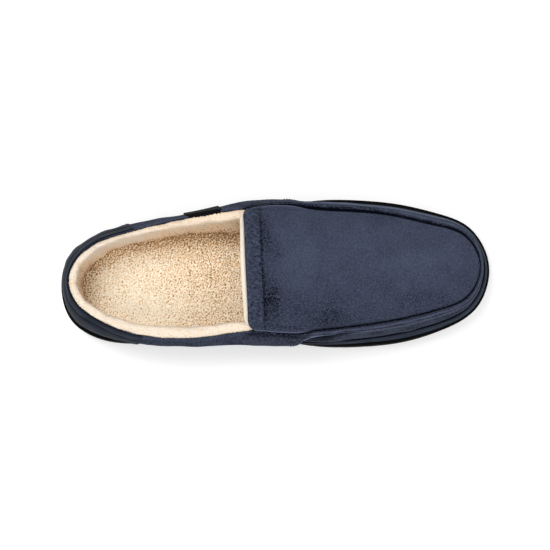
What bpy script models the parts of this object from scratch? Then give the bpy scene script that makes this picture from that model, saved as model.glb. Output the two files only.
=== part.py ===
"""Clog slipper for a left foot, modelled in Blender.

The shape functions work in millimetres from the back of the heel, with the toe along +X, the outer side
of the foot along +Y and +Z up. Every wall follows the rings of one table of sections. The finished meshes
are in metres, with the origin under the middle of the slipper.
"""

from collections import namedtuple

import bmesh
import bpy
import numpy as np

# Driving sizes, in millimetres
MM = 0.001
LENGTH = 292.0
GAP = 0.3
UPPER_WALL = 3.0
CUP_WALL = 4.0
PLATE = 8.5

# Underside: each lift, and the share of the length where it begins, ends or lies
TOE_SPRING, TOE_SPRING_FROM = 5.0, 0.74
HEEL_BEVEL, HEEL_BEVEL_TO = 1.2, 0.06
ARCH_LIFT, ARCH_AT, ARCH_REACH = 1.5, 0.41, 0.11

# Sections from heel to toe: the place along the length, and the half breadths to the inner and outer side
# of the foot of each ring
Breadths = namedtuple(
    "Breadths", "at sole_in sole_out welt_in welt_out belly_in belly_out top_in top_out seam_in seam_out"
)
BREADTHS = (
    Breadths(0.000, 0, 0, 0, 0, 0, 0, 0, 0, 0, 0),
    Breadths(0.023, 23.2, 22.4, 21.2, 20.8, 21.3, 20.6, 16.5, 16.0, 13.5, 13.0),
    Breadths(0.070, 33.6, 32.8, 31.0, 30.4, 31.6, 30.5, 26.8, 26.0, 23.9, 23.0),
    Breadths(0.140, 38.8, 38.8, 36.8, 37.0, 39.4, 37.4, 35.9, 32.3, 32.9, 29.5),
    Breadths(0.234, 38.4, 42.1, 38.2, 41.0, 44.3, 42.2, 40.7, 37.9, 37.7, 35.5),
    Breadths(0.327, 34.5, 42.9, 37.8, 42.6, 45.5, 45.4, 41.2, 42.2, 39.0, 40.0),
    Breadths(0.424, 33.1, 45.2, 38.4, 45.6, 46.2, 50.3, 39.2, 44.0, 37.4, 42.5),
    Breadths(0.515, 42.0, 49.0, 42.4, 48.4, 48.2, 51.4, 42.2, 45.8, 39.6, 43.8),
    Breadths(0.608, 47.8, 52.2, 44.4, 48.8, 46.8, 49.0, 43.2, 45.0, 39.7, 41.0),
    Breadths(0.702, 48.9, 51.0, 44.3, 46.4, 44.4, 46.2, 41.6, 42.9, 37.7, 38.8),
    Breadths(0.795, 47.0, 47.0, 41.6, 42.1, 41.7, 41.9, 38.7, 39.3, 34.6, 35.1),
    Breadths(0.889, 39.8, 39.0, 35.6, 35.3, 35.8, 35.4, 33.0, 32.9, 29.4, 28.4),
    Breadths(0.959, 29.0, 28.3, 26.0, 25.8, 26.2, 26.0, 25.0, 25.0, 22.4, 21.6),
    Breadths(0.985, 18.4, 17.5, 16.4, 15.9, 16.8, 16.3, 16.4, 16.1, 14.6, 14.2),
    Breadths(1.000, 0, 0, 0, 0, 0, 0, 0, 0, 0, 0),
)

# Heights at the same sections: top of the rubber side, top of the foxing, widest line of the wall, collar or
# raised seam, apron edge and apron middle
Heights = namedtuple("Heights", "side welt belly top seam crown")
HEIGHTS = (
    Heights(17.0, 26.0, 40.0, 58.0, 60.0, 96.0),
    Heights(17.0, 26.0, 40.0, 58.0, 60.0, 96.0),
    Heights(17.0, 26.0, 40.0, 57.2, 59.0, 95.0),
    Heights(16.5, 25.5, 39.0, 55.8, 57.5, 94.0),
    Heights(16.0, 25.0, 38.0, 53.8, 55.5, 92.0),
    Heights(15.5, 24.5, 37.5, 53.8, 55.0, 90.0),
    Heights(15.0, 24.0, 38.0, 60.0, 62.0, 86.0),
    Heights(15.0, 23.5, 38.0, 58.0, 60.5, 82.0),
    Heights(15.0, 23.0, 36.5, 52.8, 56.0, 76.0),
    Heights(15.0, 23.0, 35.0, 48.8, 52.2, 68.5),
    Heights(15.5, 23.5, 34.0, 45.6, 48.8, 60.5),
    Heights(16.5, 24.5, 33.5, 43.2, 46.0, 52.8),
    Heights(18.0, 25.8, 33.5, 41.6, 44.0, 46.8),
    Heights(18.7, 26.3, 33.5, 41.0, 43.4, 44.5),
    Heights(19.0, 26.5, 33.5, 40.6, 43.2, 43.2),
)

# Where each ring begins behind the heel and ends at the toe
RING_ENDS = {
    "sole": (0.0, LENGTH),
    "welt": (3.2, LENGTH - 4.6),
    "belly": (4.0, LENGTH - 5.2),
    "top": (9.0, LENGTH - 6.2),
    "seam": (12.0, LENGTH - 8.9),
}
THROAT_ROW = 6

# Fineness of the meshes
REAR_COLUMNS, FRONT_COLUMNS = 18, 21
APRON_STEPS = 12
SOLE_STRIPS, INSOLE_STRIPS = 6, 8
COUNTER_GRID, LABEL_GRID, BINDING_GRID = (25, 7), (7, 4), (5, 17)
PAD_STEP = 3.7
WALL_SAMPLES, LENGTH_SAMPLES = 61, 400
SHARP_ANGLE = np.radians(40)
ARC_SHARE = 0.3

# Wall of the upper: ring numbers 0 foot, 1 cup edge, 2 foxing top, 3 belly and 4 collar or raised seam
WALL_RINGS = 5
WALL_ROWS = (0.0, 1.0, 1.5, 2.0, 2.5, 3.0, 3.35, 3.7, 4.0)
FOOT, CUP_EDGE, WELT, BELLY, TOP = range(WALL_RINGS)

# Raised seam round the toe: share of the way from wall top to apron edge, and rise
RIDGE = ((0.1, 1.9), (0.3, 3.4), (0.55, 2.9), (0.82, 0.8))
SEAM_SINK = 1.2
RIDGE_FROM, RIDGE_FULL = 158.0, 174.0
THROAT_BOW = 1.4
THROAT_CORNER = 8
BOW_REACH = 24.0
CROWN_POWER = 2.2

# Foxing, insole and overlays
FOXING_FOOT, FOXING_MIDDLE, FOXING_HEAD = 3.5, 3.1, 1.6
FOXING_ROUND, FOXING_SHOULDER = 1.2, 0.6
FOXING_GAP = 0.5
# Share of the length, and there the share of the foxing's thickness on the inner and on the outer side
FOXING_SHARES = ((0.0, 0.45, 0.45), (0.14, 0.5, 0.5), (0.33, 0.7, 0.6), (0.56, 1.15, 0.5), (0.62, 0.9, 0.5),
                 (0.7, 0.6, 0.5), (0.8, 0.6, 0.5), (0.87, 0.8, 0.55), (1.0, 0.75, 0.75))
SIDE_BLEND = 12.0
INSOLE_DROP = 2.5
INSOLE_ROUND = 1.8
INSOLE_DISH = 1.5
OVERLAY = 1.4
COUNTER_OUTER_END, COUNTER_INNER_END = 50.0, 53.0
COUNTER_FOOT, COUNTER_HEAD = WELT + 0.12, TOP - 0.14
BINDING_WIDTH = 10.0
BINDING_REACH = 0.95
LABEL_FROM, LABEL_TO = 87.0, 112.0
LABEL_FOOT, LABEL_HEAD = TOP - 0.65, TOP - 0.06
LABEL_THICK = 0.8

# Tread
SOLE_ROUND = 1.6
SIDE_GROOVE = 0.7
GROOVE_FOOT, GROOVE_HEAD, GROOVE_SLOPE = 6.2, 3.6, 0.7
TOP_ROUND = 0.6
RIM = 6.0
FIELD_DEPTH = 2.0
# Rim notches: first place and pitch on the outer and inner side, and width at the back and at the front
NOTCHES = 10
NOTCH_DEPTH, NOTCH_REACH = 1.4, 10.0
NOTCH_SIDES = {1: (48.0, 16.8), -1: (50.0, 17.2)}
NOTCH_WIDTHS = (1.6, 3.2)
# Pads as control points of closed curves, along the foot and out from its axis; the power evens the spans
SPAN_POWER = 0.75
HEEL_PAD = ((15.5, 0.0), (20.5, 14.0), (34.0, 21.5), (51.0, 24.0), (55.8, 23.6), (57.4, 21.2),
            (57.5, 10.0), (57.5, -10.0), (57.4, -21.2), (55.8, -23.6), (51.0, -24.0), (32.0, -22.0),
            (20.0, -14.5))
FOREFOOT_PAD = ((166.5, -19.5), (173.0, -29.5), (193.0, -35.5), (215.0, -36.0), (236.0, -32.5),
                (254.0, -26.0), (264.5, -15.5), (267.5, -2.0), (262.5, 11.5), (252.0, 21.5),
                (240.0, 28.0), (234.0, 27.5), (231.5, 22.0), (230.0, 8.0), (229.5, -7.0), (225.0, -14.0),
                (213.0, -11.0), (203.0, -5.0), (192.0, -1.0), (178.0, -2.0), (169.5, -8.5))
PLATE_CENTRE = (106.0, 4.5)
PLATE_SIZE = (24.0, 37.5)
CUTTER_REACH = 12.0

COLLECTION = "clog_slipper"
CUTTER_COLLECTION = "cutters"

# Plain finishes
Finish = namedtuple("Finish", "colour roughness")
FINISHES = {
    "black_rubber": Finish((0.02, 0.02, 0.021), 0.6),
    "navy_velour": Finish((0.045, 0.052, 0.09), 0.9),
    "navy_smooth_cloth": Finish((0.026, 0.035, 0.06), 0.75),
    "cream_fleece": Finish((0.72, 0.54, 0.34), 0.95),
    "black_ribbon": Finish((0.012, 0.012, 0.014), 0.8),
}


def spline_moments(steps, values, closed):
    """Second derivatives of the cubic spline through values, natural at open ends."""
    count = len(values)
    matrix = np.eye(count)
    right = np.zeros_like(values)
    for i in range(count) if closed else range(1, count - 1):
        before, after = steps[i - 1], steps[i % len(steps)]
        ahead = (i + 1) % count
        matrix[i, i] = 2 * (before + after)
        matrix[i, i - 1] += before
        matrix[i, ahead] += after
        right[i] = 6 * ((values[ahead] - values[i]) / after - (values[i] - values[i - 1]) / before)
    return np.linalg.solve(matrix, right.reshape(count, -1)).reshape(values.shape)


def spline(knots, values, at, closed=False):
    """Points of a cubic spline at the given parameters; a closed one has one more knot than values."""
    values = np.asarray(values, float)
    knots = np.asarray(knots, float)
    at = np.atleast_1d(np.asarray(at, float))
    steps = np.diff(knots)
    moments = spline_moments(steps, values, closed)
    if closed:
        at = np.mod(at, knots[-1])
    k = np.clip(np.searchsorted(knots, at, side="right") - 1, 0, len(steps) - 1)
    ahead = (k + 1) % len(values)
    shape = (-1,) + (1,) * (values.ndim - 1)
    step = steps[k].reshape(shape)
    b = ((at - knots[k]) / steps[k]).reshape(shape)
    a = 1 - b
    bend = (a**3 - a) * moments[k] + (b**3 - b) * moments[ahead]
    return a * values[k] + b * values[ahead] + bend * step**2 / 6


def half_knots():
    """Distance from heel to toe along the mean side of the sole, at each section."""
    x = np.array([row.at for row in BREADTHS]) * LENGTH
    y = np.array([(row.sole_in + row.sole_out) / 2 for row in BREADTHS])
    return np.concatenate([[0], np.cumsum(np.hypot(np.diff(x), np.diff(y)))])


KNOTS = half_knots()
TOE_AT = KNOTS[-1]
THROAT_AT = KNOTS[THROAT_ROW]
LOOP_KNOTS = np.concatenate([KNOTS, 2 * TOE_AT - KNOTS[-2::-1]])


def ring(name, at, height):
    """Points of a named ring at the loop parameters, outer side first, at one of the table's heights."""
    heel, toe = RING_ENDS[name]
    x = heel + np.array([row.at for row in BREADTHS]) * (toe - heel)
    z = np.array([getattr(row, height) for row in HEIGHTS])
    outer = np.column_stack([x, [getattr(row, name + "_out") for row in BREADTHS], z])
    inner = np.column_stack([x, [-getattr(row, name + "_in") for row in BREADTHS], z])
    return spline(LOOP_KNOTS, np.vstack([outer, inner[-2:0:-1]]), at, closed=True)


def section_height(name, at):
    """One of the table's heights at parameters of either half of the loop."""
    fold = np.minimum(np.mod(at, 2 * TOE_AT), 2 * TOE_AT - np.mod(at, 2 * TOE_AT))
    return spline(KNOTS, [getattr(row, name) for row in HEIGHTS], fold)


def loop_columns():
    """Loop parameters of the columns, from the heel round the outer side, the toe and the inner side."""
    rear = np.linspace(0, THROAT_AT, REAR_COLUMNS, endpoint=False)
    half = np.concatenate([rear, np.linspace(THROAT_AT, TOE_AT, FRONT_COLUMNS + 1)])
    return np.concatenate([half, 2 * TOE_AT - half[-2:0:-1]])


COLUMNS = loop_columns()
FRONT = slice(REAR_COLUMNS, len(COLUMNS) - REAR_COLUMNS + 1)


def grown(points, by):
    """A closed ring moved outwards in plan by one distance, or by one for each point."""
    along = np.roll(points, -1, axis=0) - np.roll(points, 1, axis=0)
    # the loop runs clockwise seen from above, so its left side is the outside
    out = np.column_stack([-along[:, 1], along[:, 0]])
    out /= np.linalg.norm(out, axis=1)[:, None]
    moved = points.copy()
    moved[:, :2] += out * np.reshape(by, (-1, 1))
    return moved


def at_height(points, z):
    """The same ring at other heights."""
    return np.column_stack([points[:, :2], np.broadcast_to(z, len(points))])


def lift(x):
    """Height of the tread over the floor: toe spring, arch and a bevel under the heel."""
    share = np.asarray(x) / LENGTH
    toe = TOE_SPRING * np.clip((share - TOE_SPRING_FROM) / (1 - TOE_SPRING_FROM), 0, None) ** 2
    heel = HEEL_BEVEL * np.clip(1 - share / HEEL_BEVEL_TO, 0, None) ** 2
    arch = ARCH_LIFT * np.cos(np.clip((share - ARCH_AT) / ARCH_REACH, -1, 1) * np.pi / 2) ** 2
    return toe + heel + arch


def wall_rings(at):
    """The five rings that the outside of the upper runs through."""
    sole = ring("sole", COLUMNS, "side")
    cup = grown(sole, -CUP_WALL - GAP)
    plan = spline(np.append(COLUMNS, 2 * TOE_AT), cup, at, closed=True)
    foot = at_height(plan, lift(plan[:, 0]) + PLATE + GAP)
    edge = at_height(plan, section_height("side", at))
    return np.array([foot, edge] + [ring(name, at, name) for name in ("welt", "belly", "top")])


def wall(at, rows):
    """Outside of the upper's wall: rows of points at the loop parameters."""
    return spline(range(WALL_RINGS), wall_rings(at), rows)


def wall_at_height(z, offset):
    """The wall's outside at a height for each column, moved outwards by an offset."""
    rows = np.linspace(FOOT, BELLY, WALL_SAMPLES)
    columns = np.swapaxes(wall(COLUMNS, rows), 0, 1)
    z = np.broadcast_to(z, len(COLUMNS))
    level = [
        [np.interp(height, column[:, 2], column[:, axis]) for axis in range(2)]
        for height, column in zip(z, columns)
    ]
    return grown(np.column_stack([level, z]), offset)


def apron(at, across):
    """Crowned apron over the instep: parameters from throat to toe, and shares from inner to outer side."""
    at = np.asarray(at, float)
    across = np.asarray(across, float)
    outer = ring("seam", at, "seam")[:, None]
    inner = ring("seam", 2 * TOE_AT - at, "seam")[:, None]
    share = (across[None, :, None] + 1) / 2
    points = inner * (1 - share) + outer * share
    crown = section_height("crown", at)[:, None] - points[:, :, 2]
    points[:, :, 2] += crown * (1 - np.abs(across) ** CROWN_POWER)
    throat_x = ring("seam", [THROAT_AT], "seam")[0, 0]
    fade = np.clip(1 - (outer[:, :, 0] - throat_x) / BOW_REACH, 0, 1) ** 2
    points[:, :, 0] += THROAT_BOW * fade * (1 - np.abs(across) ** THROAT_CORNER)
    return points


def grid_normals(points):
    """Unit normals of a grid of points."""
    normal = np.cross(np.gradient(points, axis=0), np.gradient(points, axis=1))
    return normal / np.maximum(np.linalg.norm(normal, axis=2), 1e-9)[:, :, None]


def upward_normals(points):
    """Unit normals of a grid of points that lies face up."""
    normals = grid_normals(points)
    return normals * np.sign(normals[:, :, 2:])


class Skin:
    """Points and faces of one solid, gathered row by row."""

    def __init__(self):
        self.points = []
        self.faces = []

    def row(self, points):
        """Adds points and gives their numbers."""
        start = len(self.points)
        self.points.extend(points)
        return list(range(start, len(self.points)))

    def bridge(self, first, second, closed=True):
        """Joins two rows with quads."""
        count = len(first)
        for i in range(count if closed else count - 1):
            j = (i + 1) % count
            self.faces.append((first[i], first[j], second[j], second[i]))

    def tube(self, rows):
        """Joins closed rows one after another, and the last to the first."""
        numbers = [self.row(points) for points in rows]
        for first, second in zip(numbers, numbers[1:] + numbers[:1]):
            self.bridge(first, second)

    def slab(self, under, over):
        """A closed plate between two grids of points."""
        sheets = [[self.row(line) for line in grid] for grid in (under, over)]
        for sheet in sheets:
            for first, second in zip(sheet, sheet[1:]):
                self.bridge(first, second, closed=False)
        edges = []
        for first, *between, last in sheets:
            far = [line[-1] for line in between]
            near = [line[0] for line in between]
            edges.append(first + far + last[::-1] + near[::-1])
        self.bridge(*edges)

    def fill(self, loop, height, steps):
        """Closes a loop of columns with strips from side to side; height gives z from points and shares."""
        half = len(loop) // 2
        before = [loop[0]] * (steps + 1)
        for j in range(1, half + 1):
            ends = np.array(self.points[loop[-j]]), np.array(self.points[loop[j]])
            across = np.linspace(0, 1, steps + 1)[1:-1, None]
            inside = ends[0] * (1 - across) + ends[1] * across
            inside[:, 2] = height(inside, 2 * across[:, 0] - 1)
            line = [loop[half]] * (steps + 1) if j == half else [loop[-j], *self.row(inside), loop[j]]
            for i in range(steps):
                corners = dict.fromkeys((before[i], before[i + 1], line[i + 1], line[i]))
                self.faces.append(tuple(corners))
            before = line

    def build(self, name, material, collection):
        """Makes the mesh object, in metres about the middle of the slipper, with its faces pointing out."""
        mesh = bpy.data.meshes.new(name)
        mesh.from_pydata([tuple(p) for p in (np.array(self.points) - MIDDLE) * MM], [], self.faces)
        shape = bmesh.new()
        shape.from_mesh(mesh)
        bmesh.ops.recalc_face_normals(shape, faces=shape.faces)
        shape.to_mesh(mesh)
        shape.free()
        mesh.shade_smooth()
        mesh.set_sharp_from_angle(angle=SHARP_ANGLE)
        made = bpy.data.objects.new(name, mesh)
        collection.objects.link(made)
        if material:
            mesh.materials.append(material)
        return made


def middle():
    """Middle of the slipper's box on the floor."""
    widest = [ring(name, COLUMNS, "side")[:, 1] for name in ("sole", "belly")]
    low, high = min(y.min() for y in widest), max(y.max() for y in widest)
    return np.array([LENGTH / 2, (low + high) / 2, 0])


MIDDLE = middle()


def make_material(name):
    """A plain finish."""
    colour, roughness = FINISHES[name]
    material = bpy.data.materials.new(name)
    material.use_nodes = True
    shader = material.node_tree.nodes["Principled BSDF"]
    shader.inputs["Base Color"].default_value = (*colour, 1)
    shader.inputs["Roughness"].default_value = roughness
    shader.inputs["Metallic"].default_value = 0
    material.diffuse_color = (*colour, 1)
    return material


def cut(target, cutter):
    """Takes a cutter out of a solid."""
    modifier = target.modifiers.new(cutter.name, "BOOLEAN")
    modifier.operation = "DIFFERENCE"
    modifier.object = cutter


def make_cutter(skin, name, collection):
    """A solid that only shapes others."""
    cutter = skin.build(name, None, collection)
    cutter.hide_render = True
    cutter.display_type = "WIRE"
    return cutter


def closed_curve(corners):
    """A smooth closed curve through control points in plan."""
    corners = np.array(corners, float)
    spans = np.linalg.norm(np.roll(corners, -1, axis=0) - corners, axis=1)
    knots = np.concatenate([[0], np.cumsum(spans**SPAN_POWER)])
    count = round(spans.sum() / PAD_STEP)
    return spline(knots, corners, np.linspace(0, knots[-1], count, endpoint=False), closed=True)


def prism(outline, low, high):
    """An upright solid on an outline."""
    skin = Skin()
    rows = [skin.row(np.column_stack([outline, np.full(len(outline), z)])) for z in (low, high)]
    skin.bridge(*rows)
    skin.faces.append(tuple(rows[0]))
    skin.faces.append(tuple(rows[1][::-1]))
    return skin


def rectangle(centre, size):
    """Corners of an upright rectangle in plan."""
    return np.array(centre) + np.array([(-1, -1), (1, -1), (1, 1), (-1, 1)]) * np.array(size) / 2


def make_outsole(material, parts, cutters):
    """Rubber cup with a rounded lower edge, a groove round its side and the tread cut in from below."""
    sole = ring("sole", COLUMNS, "side")
    top = sole[:, 2]
    floor = lift(sole[:, 0])
    levels = (
        (-SOLE_ROUND, floor),
        (-ARC_SHARE * SOLE_ROUND, floor + ARC_SHARE * SOLE_ROUND),
        (0, floor + SOLE_ROUND),
        (0, top - GROOVE_FOOT),
        (-SIDE_GROOVE, top - GROOVE_FOOT + GROOVE_SLOPE),
        (-SIDE_GROOVE, top - GROOVE_HEAD - GROOVE_SLOPE),
        (0, top - GROOVE_HEAD),
        (0, top - TOP_ROUND),
        (-TOP_ROUND, top),
    )
    outside = [at_height(grown(sole, out), z) for out, z in levels]
    cup = [grown(points, GAP) for points in wall(COLUMNS, (CUP_EDGE, FOOT))]
    cup[1][:, 2] -= GAP
    skin = Skin()
    rows = [skin.row(points) for points in outside + cup]
    for first, second in zip(rows, rows[1:]):
        skin.bridge(first, second)
    skin.fill(rows[0], lambda points, across: lift(points[:, 0]), SOLE_STRIPS)
    skin.fill(rows[-1], lambda points, across: lift(points[:, 0]) + PLATE, SOLE_STRIPS)
    outsole = skin.build("outsole", material, parts)
    cut(outsole, make_tread_field(sole, cutters))
    cut(outsole, make_notches(sole, cutters))
    return outsole


def make_tread_field(sole, cutters):
    """The sunk field inside the rim, less the pads and the plate that stand in it."""
    outline = grown(sole, -RIM)
    skin = Skin()
    low = skin.row(at_height(outline, -CUTTER_REACH))
    high = skin.row(at_height(outline, lift(outline[:, 0]) + FIELD_DEPTH))
    skin.bridge(low, high)
    skin.fill(low, lambda points, across: -CUTTER_REACH, SOLE_STRIPS)
    skin.fill(high, lambda points, across: lift(points[:, 0]) + FIELD_DEPTH, SOLE_STRIPS)
    field = make_cutter(skin, "tread_field", cutters)
    islands = {
        "heel_pad": closed_curve(HEEL_PAD),
        "forefoot_pad": closed_curve(FOREFOOT_PAD),
        "plate": rectangle(PLATE_CENTRE, PLATE_SIZE),
    }
    for name, outline in islands.items():
        cut(field, make_cutter(prism(outline, -2 * CUTTER_REACH, CUTTER_REACH), name, cutters))
    return field


def make_notches(sole, cutters):
    """Cross notches through the rim on both sides, wider towards the toe."""
    skin = Skin()
    half = len(COLUMNS) // 2
    sides = {1: sole[: half + 1], -1: sole[:half - 1:-1]}
    for side, (first, pitch) in NOTCH_SIDES.items():
        edge = sides[side][np.argsort(sides[side][:, 0])]
        for i in range(NOTCHES):
            x = first + i * pitch
            y = np.interp(x, edge[:, 0], edge[:, 1])
            width = np.interp(i, (0, NOTCHES - 1), NOTCH_WIDTHS)
            outline = rectangle((x, y), (width, 2 * NOTCH_REACH))
            box = prism(outline, -CUTTER_REACH, float(lift(x)) + NOTCH_DEPTH)
            base = len(skin.points)
            skin.points.extend(box.points)
            skin.faces.extend(tuple(base + k for k in face) for face in box.faces)
    return make_cutter(skin, "rim_notches", cutters)


def foxing_offset(full):
    """Distance of the foxing's outside from the wall at each column, where it is full in places."""
    share, inner, outer = np.array(FOXING_SHARES).T
    spots = ring("belly", COLUMNS, "belly")
    along = spots[:, 0] / LENGTH
    outwards = np.clip(spots[:, 1] / (2 * SIDE_BLEND) + 0.5, 0, 1)
    part = np.interp(along, share, inner) * (1 - outwards) + np.interp(along, share, outer) * outwards
    return FOXING_GAP + (full - FOXING_GAP) * part


def make_foxing(material, parts):
    """Wrapped band between the rubber side and the wall, thick at its foot and rounded at its head."""
    foot = section_height("side", COLUMNS) + GAP
    head = section_height("welt", COLUMNS)
    half_way = (foot + head) / 2
    skin = Skin()
    skin.tube([
        wall_at_height(foot, FOXING_GAP),
        wall_at_height(foot, foxing_offset(FOXING_FOOT)),
        wall_at_height(half_way, foxing_offset(FOXING_MIDDLE)),
        wall_at_height(head - FOXING_ROUND, foxing_offset(FOXING_HEAD + FOXING_SHOULDER)),
        wall_at_height(head - FOXING_ROUND / 3, foxing_offset(FOXING_HEAD)),
        wall_at_height(head, 2 * FOXING_GAP),
        wall_at_height(head - FOXING_ROUND / 2, FOXING_GAP),
        wall_at_height(half_way, FOXING_GAP),
    ])
    return skin.build("foxing", material, parts)


def ridge_rows(top, seam):
    """Rows over the raised seam from the wall's top to the apron's edge, on the outside."""
    gain = np.clip((top[:, 0] - RIDGE_FROM) / (RIDGE_FULL - RIDGE_FROM), 0, 1)
    gain = (gain * gain * (3 - 2 * gain))[:, None]
    up = np.array([0, 0, 1.0])
    rows = [top * (1 - share) + seam * share + up * rise * gain for share, rise in RIDGE]
    return rows + [seam - up * SEAM_SINK * gain]


def plain_rows(top, seam):
    """Rows from the wall's top to the apron's edge on the inside, with no ridge."""
    return [top * (1 - share) + seam * share for share, rise in RIDGE] + [seam]


def wall_sheets():
    """Rows of the wall's outside and inside; ahead of the throat the inside ends lower, under the apron."""
    outside = wall(COLUMNS, WALL_ROWS)
    inside = np.array([grown(points, -UPPER_WALL) for points in outside])
    drop = np.clip((np.array(WALL_ROWS) - BELLY) / (TOP - BELLY), 0, 1)
    inside[:, FRONT, 2] -= UPPER_WALL * drop[:, None]
    return outside, inside


def apron_sheets():
    """Grids of the apron's upper and lower face, from the throat to its point at the toe."""
    at = COLUMNS[REAR_COLUMNS:len(COLUMNS) // 2 + 1]
    over = apron(at, np.linspace(-1, 1, APRON_STEPS + 1))
    under = over.copy()
    under[:-1] -= upward_normals(over[:-1]) * UPPER_WALL
    under[-1] -= np.array([UPPER_WALL, 0, UPPER_WALL])
    return over, under


def add_face_of_upper(skin, rows, sheet, shelf_between):
    """Adds the outer or inner face of the upper, and gives the loops at its mouth and its foot."""
    numbers = [skin.row(points) for points in rows]
    for first, second in zip(numbers, numbers[1:]):
        skin.bridge(first, second)
    seam = np.vstack([sheet[:, -1], sheet[-2::-1, 0]])
    shelf = [numbers[-1][FRONT]] + [skin.row(points) for points in shelf_between(rows[-1][FRONT], seam)]
    for first, second in zip(shelf, shelf[1:]):
        skin.bridge(first, second, closed=False)
    border = shelf[-1]
    last = len(sheet) - 1
    strips = [[border[-1 - i], *skin.row(sheet[i, 1:-1]), border[i]] for i in range(last)]
    strips.append([border[last]] * (APRON_STEPS + 1))
    for first, second in zip(strips, strips[1:]):
        for i in range(APRON_STEPS):
            skin.faces.append(tuple(dict.fromkeys((first[i], first[i + 1], second[i + 1], second[i]))))
    collar = numbers[-1][FRONT.stop - 1:] + numbers[-1][:FRONT.start]
    outer_side = [row[0] for row in shelf]
    inner_side = [row[-1] for row in shelf]
    return collar + outer_side + strips[0][-2:0:-1] + inner_side[:0:-1], numbers[0]


def make_upper(material, parts):
    """Hollow wall: quarters and toe wall, raised seam and apron, open at collar, throat and underneath."""
    skin = Skin()
    faces = [
        add_face_of_upper(skin, rows, sheet, between)
        for rows, sheet, between in zip(wall_sheets(), apron_sheets(), (ridge_rows, plain_rows))
    ]
    for outside, inside in zip(*faces):
        skin.bridge(outside, inside)
    return skin.build("upper", material, parts)


def make_insole(material, parts):
    """Footbed inside the wall, rounded at its upper edge and slightly dished."""
    head = section_height("welt", COLUMNS) - INSOLE_DROP
    inset = -UPPER_WALL - GAP
    low = wall(COLUMNS, (FOOT,))[0]
    skin = Skin()
    rows = [
        skin.row(grown(low, inset)),
        skin.row(wall_at_height(section_height("side", COLUMNS), inset)),
        skin.row(wall_at_height(head - INSOLE_ROUND, inset)),
    ]
    for inwards, below in ((ARC_SHARE, ARC_SHARE), (1, 0)):
        level = wall_at_height(head - INSOLE_ROUND, inset - inwards * INSOLE_ROUND)
        rows.append(skin.row(at_height(level, head - below * INSOLE_ROUND)))
    for first, second in zip(rows, rows[1:]):
        skin.bridge(first, second)
    skin.fill(rows[0], lambda points, across: lift(points[:, 0]) + PLATE + GAP, SOLE_STRIPS)
    skin.fill(rows[-1], lambda points, across: points[:, 2] - INSOLE_DISH * (1 - across**2), INSOLE_STRIPS)
    return skin.build("insole", material, parts)


def wall_patch(at, rows, under, over):
    """Two grids over a patch of the wall, at two distances from it."""
    points = wall(at, rows)
    normals = grid_normals(points)
    outward = ((points - MIDDLE) * normals)[:, :, :2].sum(axis=2)
    normals *= np.sign(outward)[:, :, None]
    return points + normals * under, points + normals * over


def place_along(x):
    """Loop parameter of the outer side at a distance from the heel, on the belly ring."""
    at = np.linspace(0, TOE_AT, LENGTH_SAMPLES)
    return float(np.interp(x, ring("belly", at, "belly")[:, 0], at))


def make_heel_counter(material, parts):
    """Smooth overlay round the heel."""
    columns, rows = COUNTER_GRID
    at = np.linspace(-place_along(COUNTER_INNER_END), place_along(COUNTER_OUTER_END), columns)
    skin = Skin()
    skin.slab(*wall_patch(at, np.linspace(COUNTER_FOOT, COUNTER_HEAD, rows), GAP, GAP + OVERLAY))
    return skin.build("heel_counter", material, parts)


def make_side_label(material, parts):
    """Plain tab under the collar on the outer side."""
    columns, rows = LABEL_GRID
    at = np.linspace(place_along(LABEL_FROM), place_along(LABEL_TO), columns)
    skin = Skin()
    skin.slab(*wall_patch(at, np.linspace(LABEL_FOOT, LABEL_HEAD, rows), GAP, GAP + LABEL_THICK))
    return skin.build("side_label", material, parts)


def make_throat_binding(material, parts):
    """Folded band along the throat edge of the apron."""
    fine = np.linspace(THROAT_AT, TOE_AT, LENGTH_SAMPLES)
    along = ring("seam", fine, "seam")[:, 0]
    end = float(np.interp(along[0] + BINDING_WIDTH, along, fine))
    rows, columns = BINDING_GRID
    points = apron(np.linspace(THROAT_AT, end, rows), np.linspace(-BINDING_REACH, BINDING_REACH, columns))
    normals = upward_normals(points)
    skin = Skin()
    skin.slab(points + normals * GAP, points + normals * (GAP + OVERLAY))
    return skin.build("throat_binding", material, parts)


def main():
    for old in list(bpy.data.objects):
        bpy.data.objects.remove(old, do_unlink=True)
    parts = bpy.data.collections.new(COLLECTION)
    cutters = bpy.data.collections.new(CUTTER_COLLECTION)
    bpy.context.scene.collection.children.link(parts)
    bpy.context.scene.collection.children.link(cutters)
    finish = {name: make_material(name) for name in FINISHES}
    make_outsole(finish["black_rubber"], parts, cutters)
    make_foxing(finish["navy_smooth_cloth"], parts)
    make_upper(finish["navy_velour"], parts)
    make_insole(finish["cream_fleece"], parts)
    make_heel_counter(finish["navy_smooth_cloth"], parts)
    make_throat_binding(finish["navy_velour"], parts)
    make_side_label(finish["black_ribbon"], parts)


main()
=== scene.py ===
"""Looks of a left clog slipper: velour, fleece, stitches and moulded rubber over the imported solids.

Shapes are worked out in millimetres from the back of the heel, with the toe along +X, the outer side of the
foot along +Y and +Z up. They are turned into the frame's metres when a mesh is made.
"""

from __future__ import annotations

import logging
from abc import ABC, abstractmethod
from dataclasses import dataclass, field
from enum import Enum
from typing import Callable, NamedTuple, Sequence

import bmesh
import bpy
import numpy as np
from mathutils import Matrix, Vector
from mathutils.geometry import delaunay_2d_cdt

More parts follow.
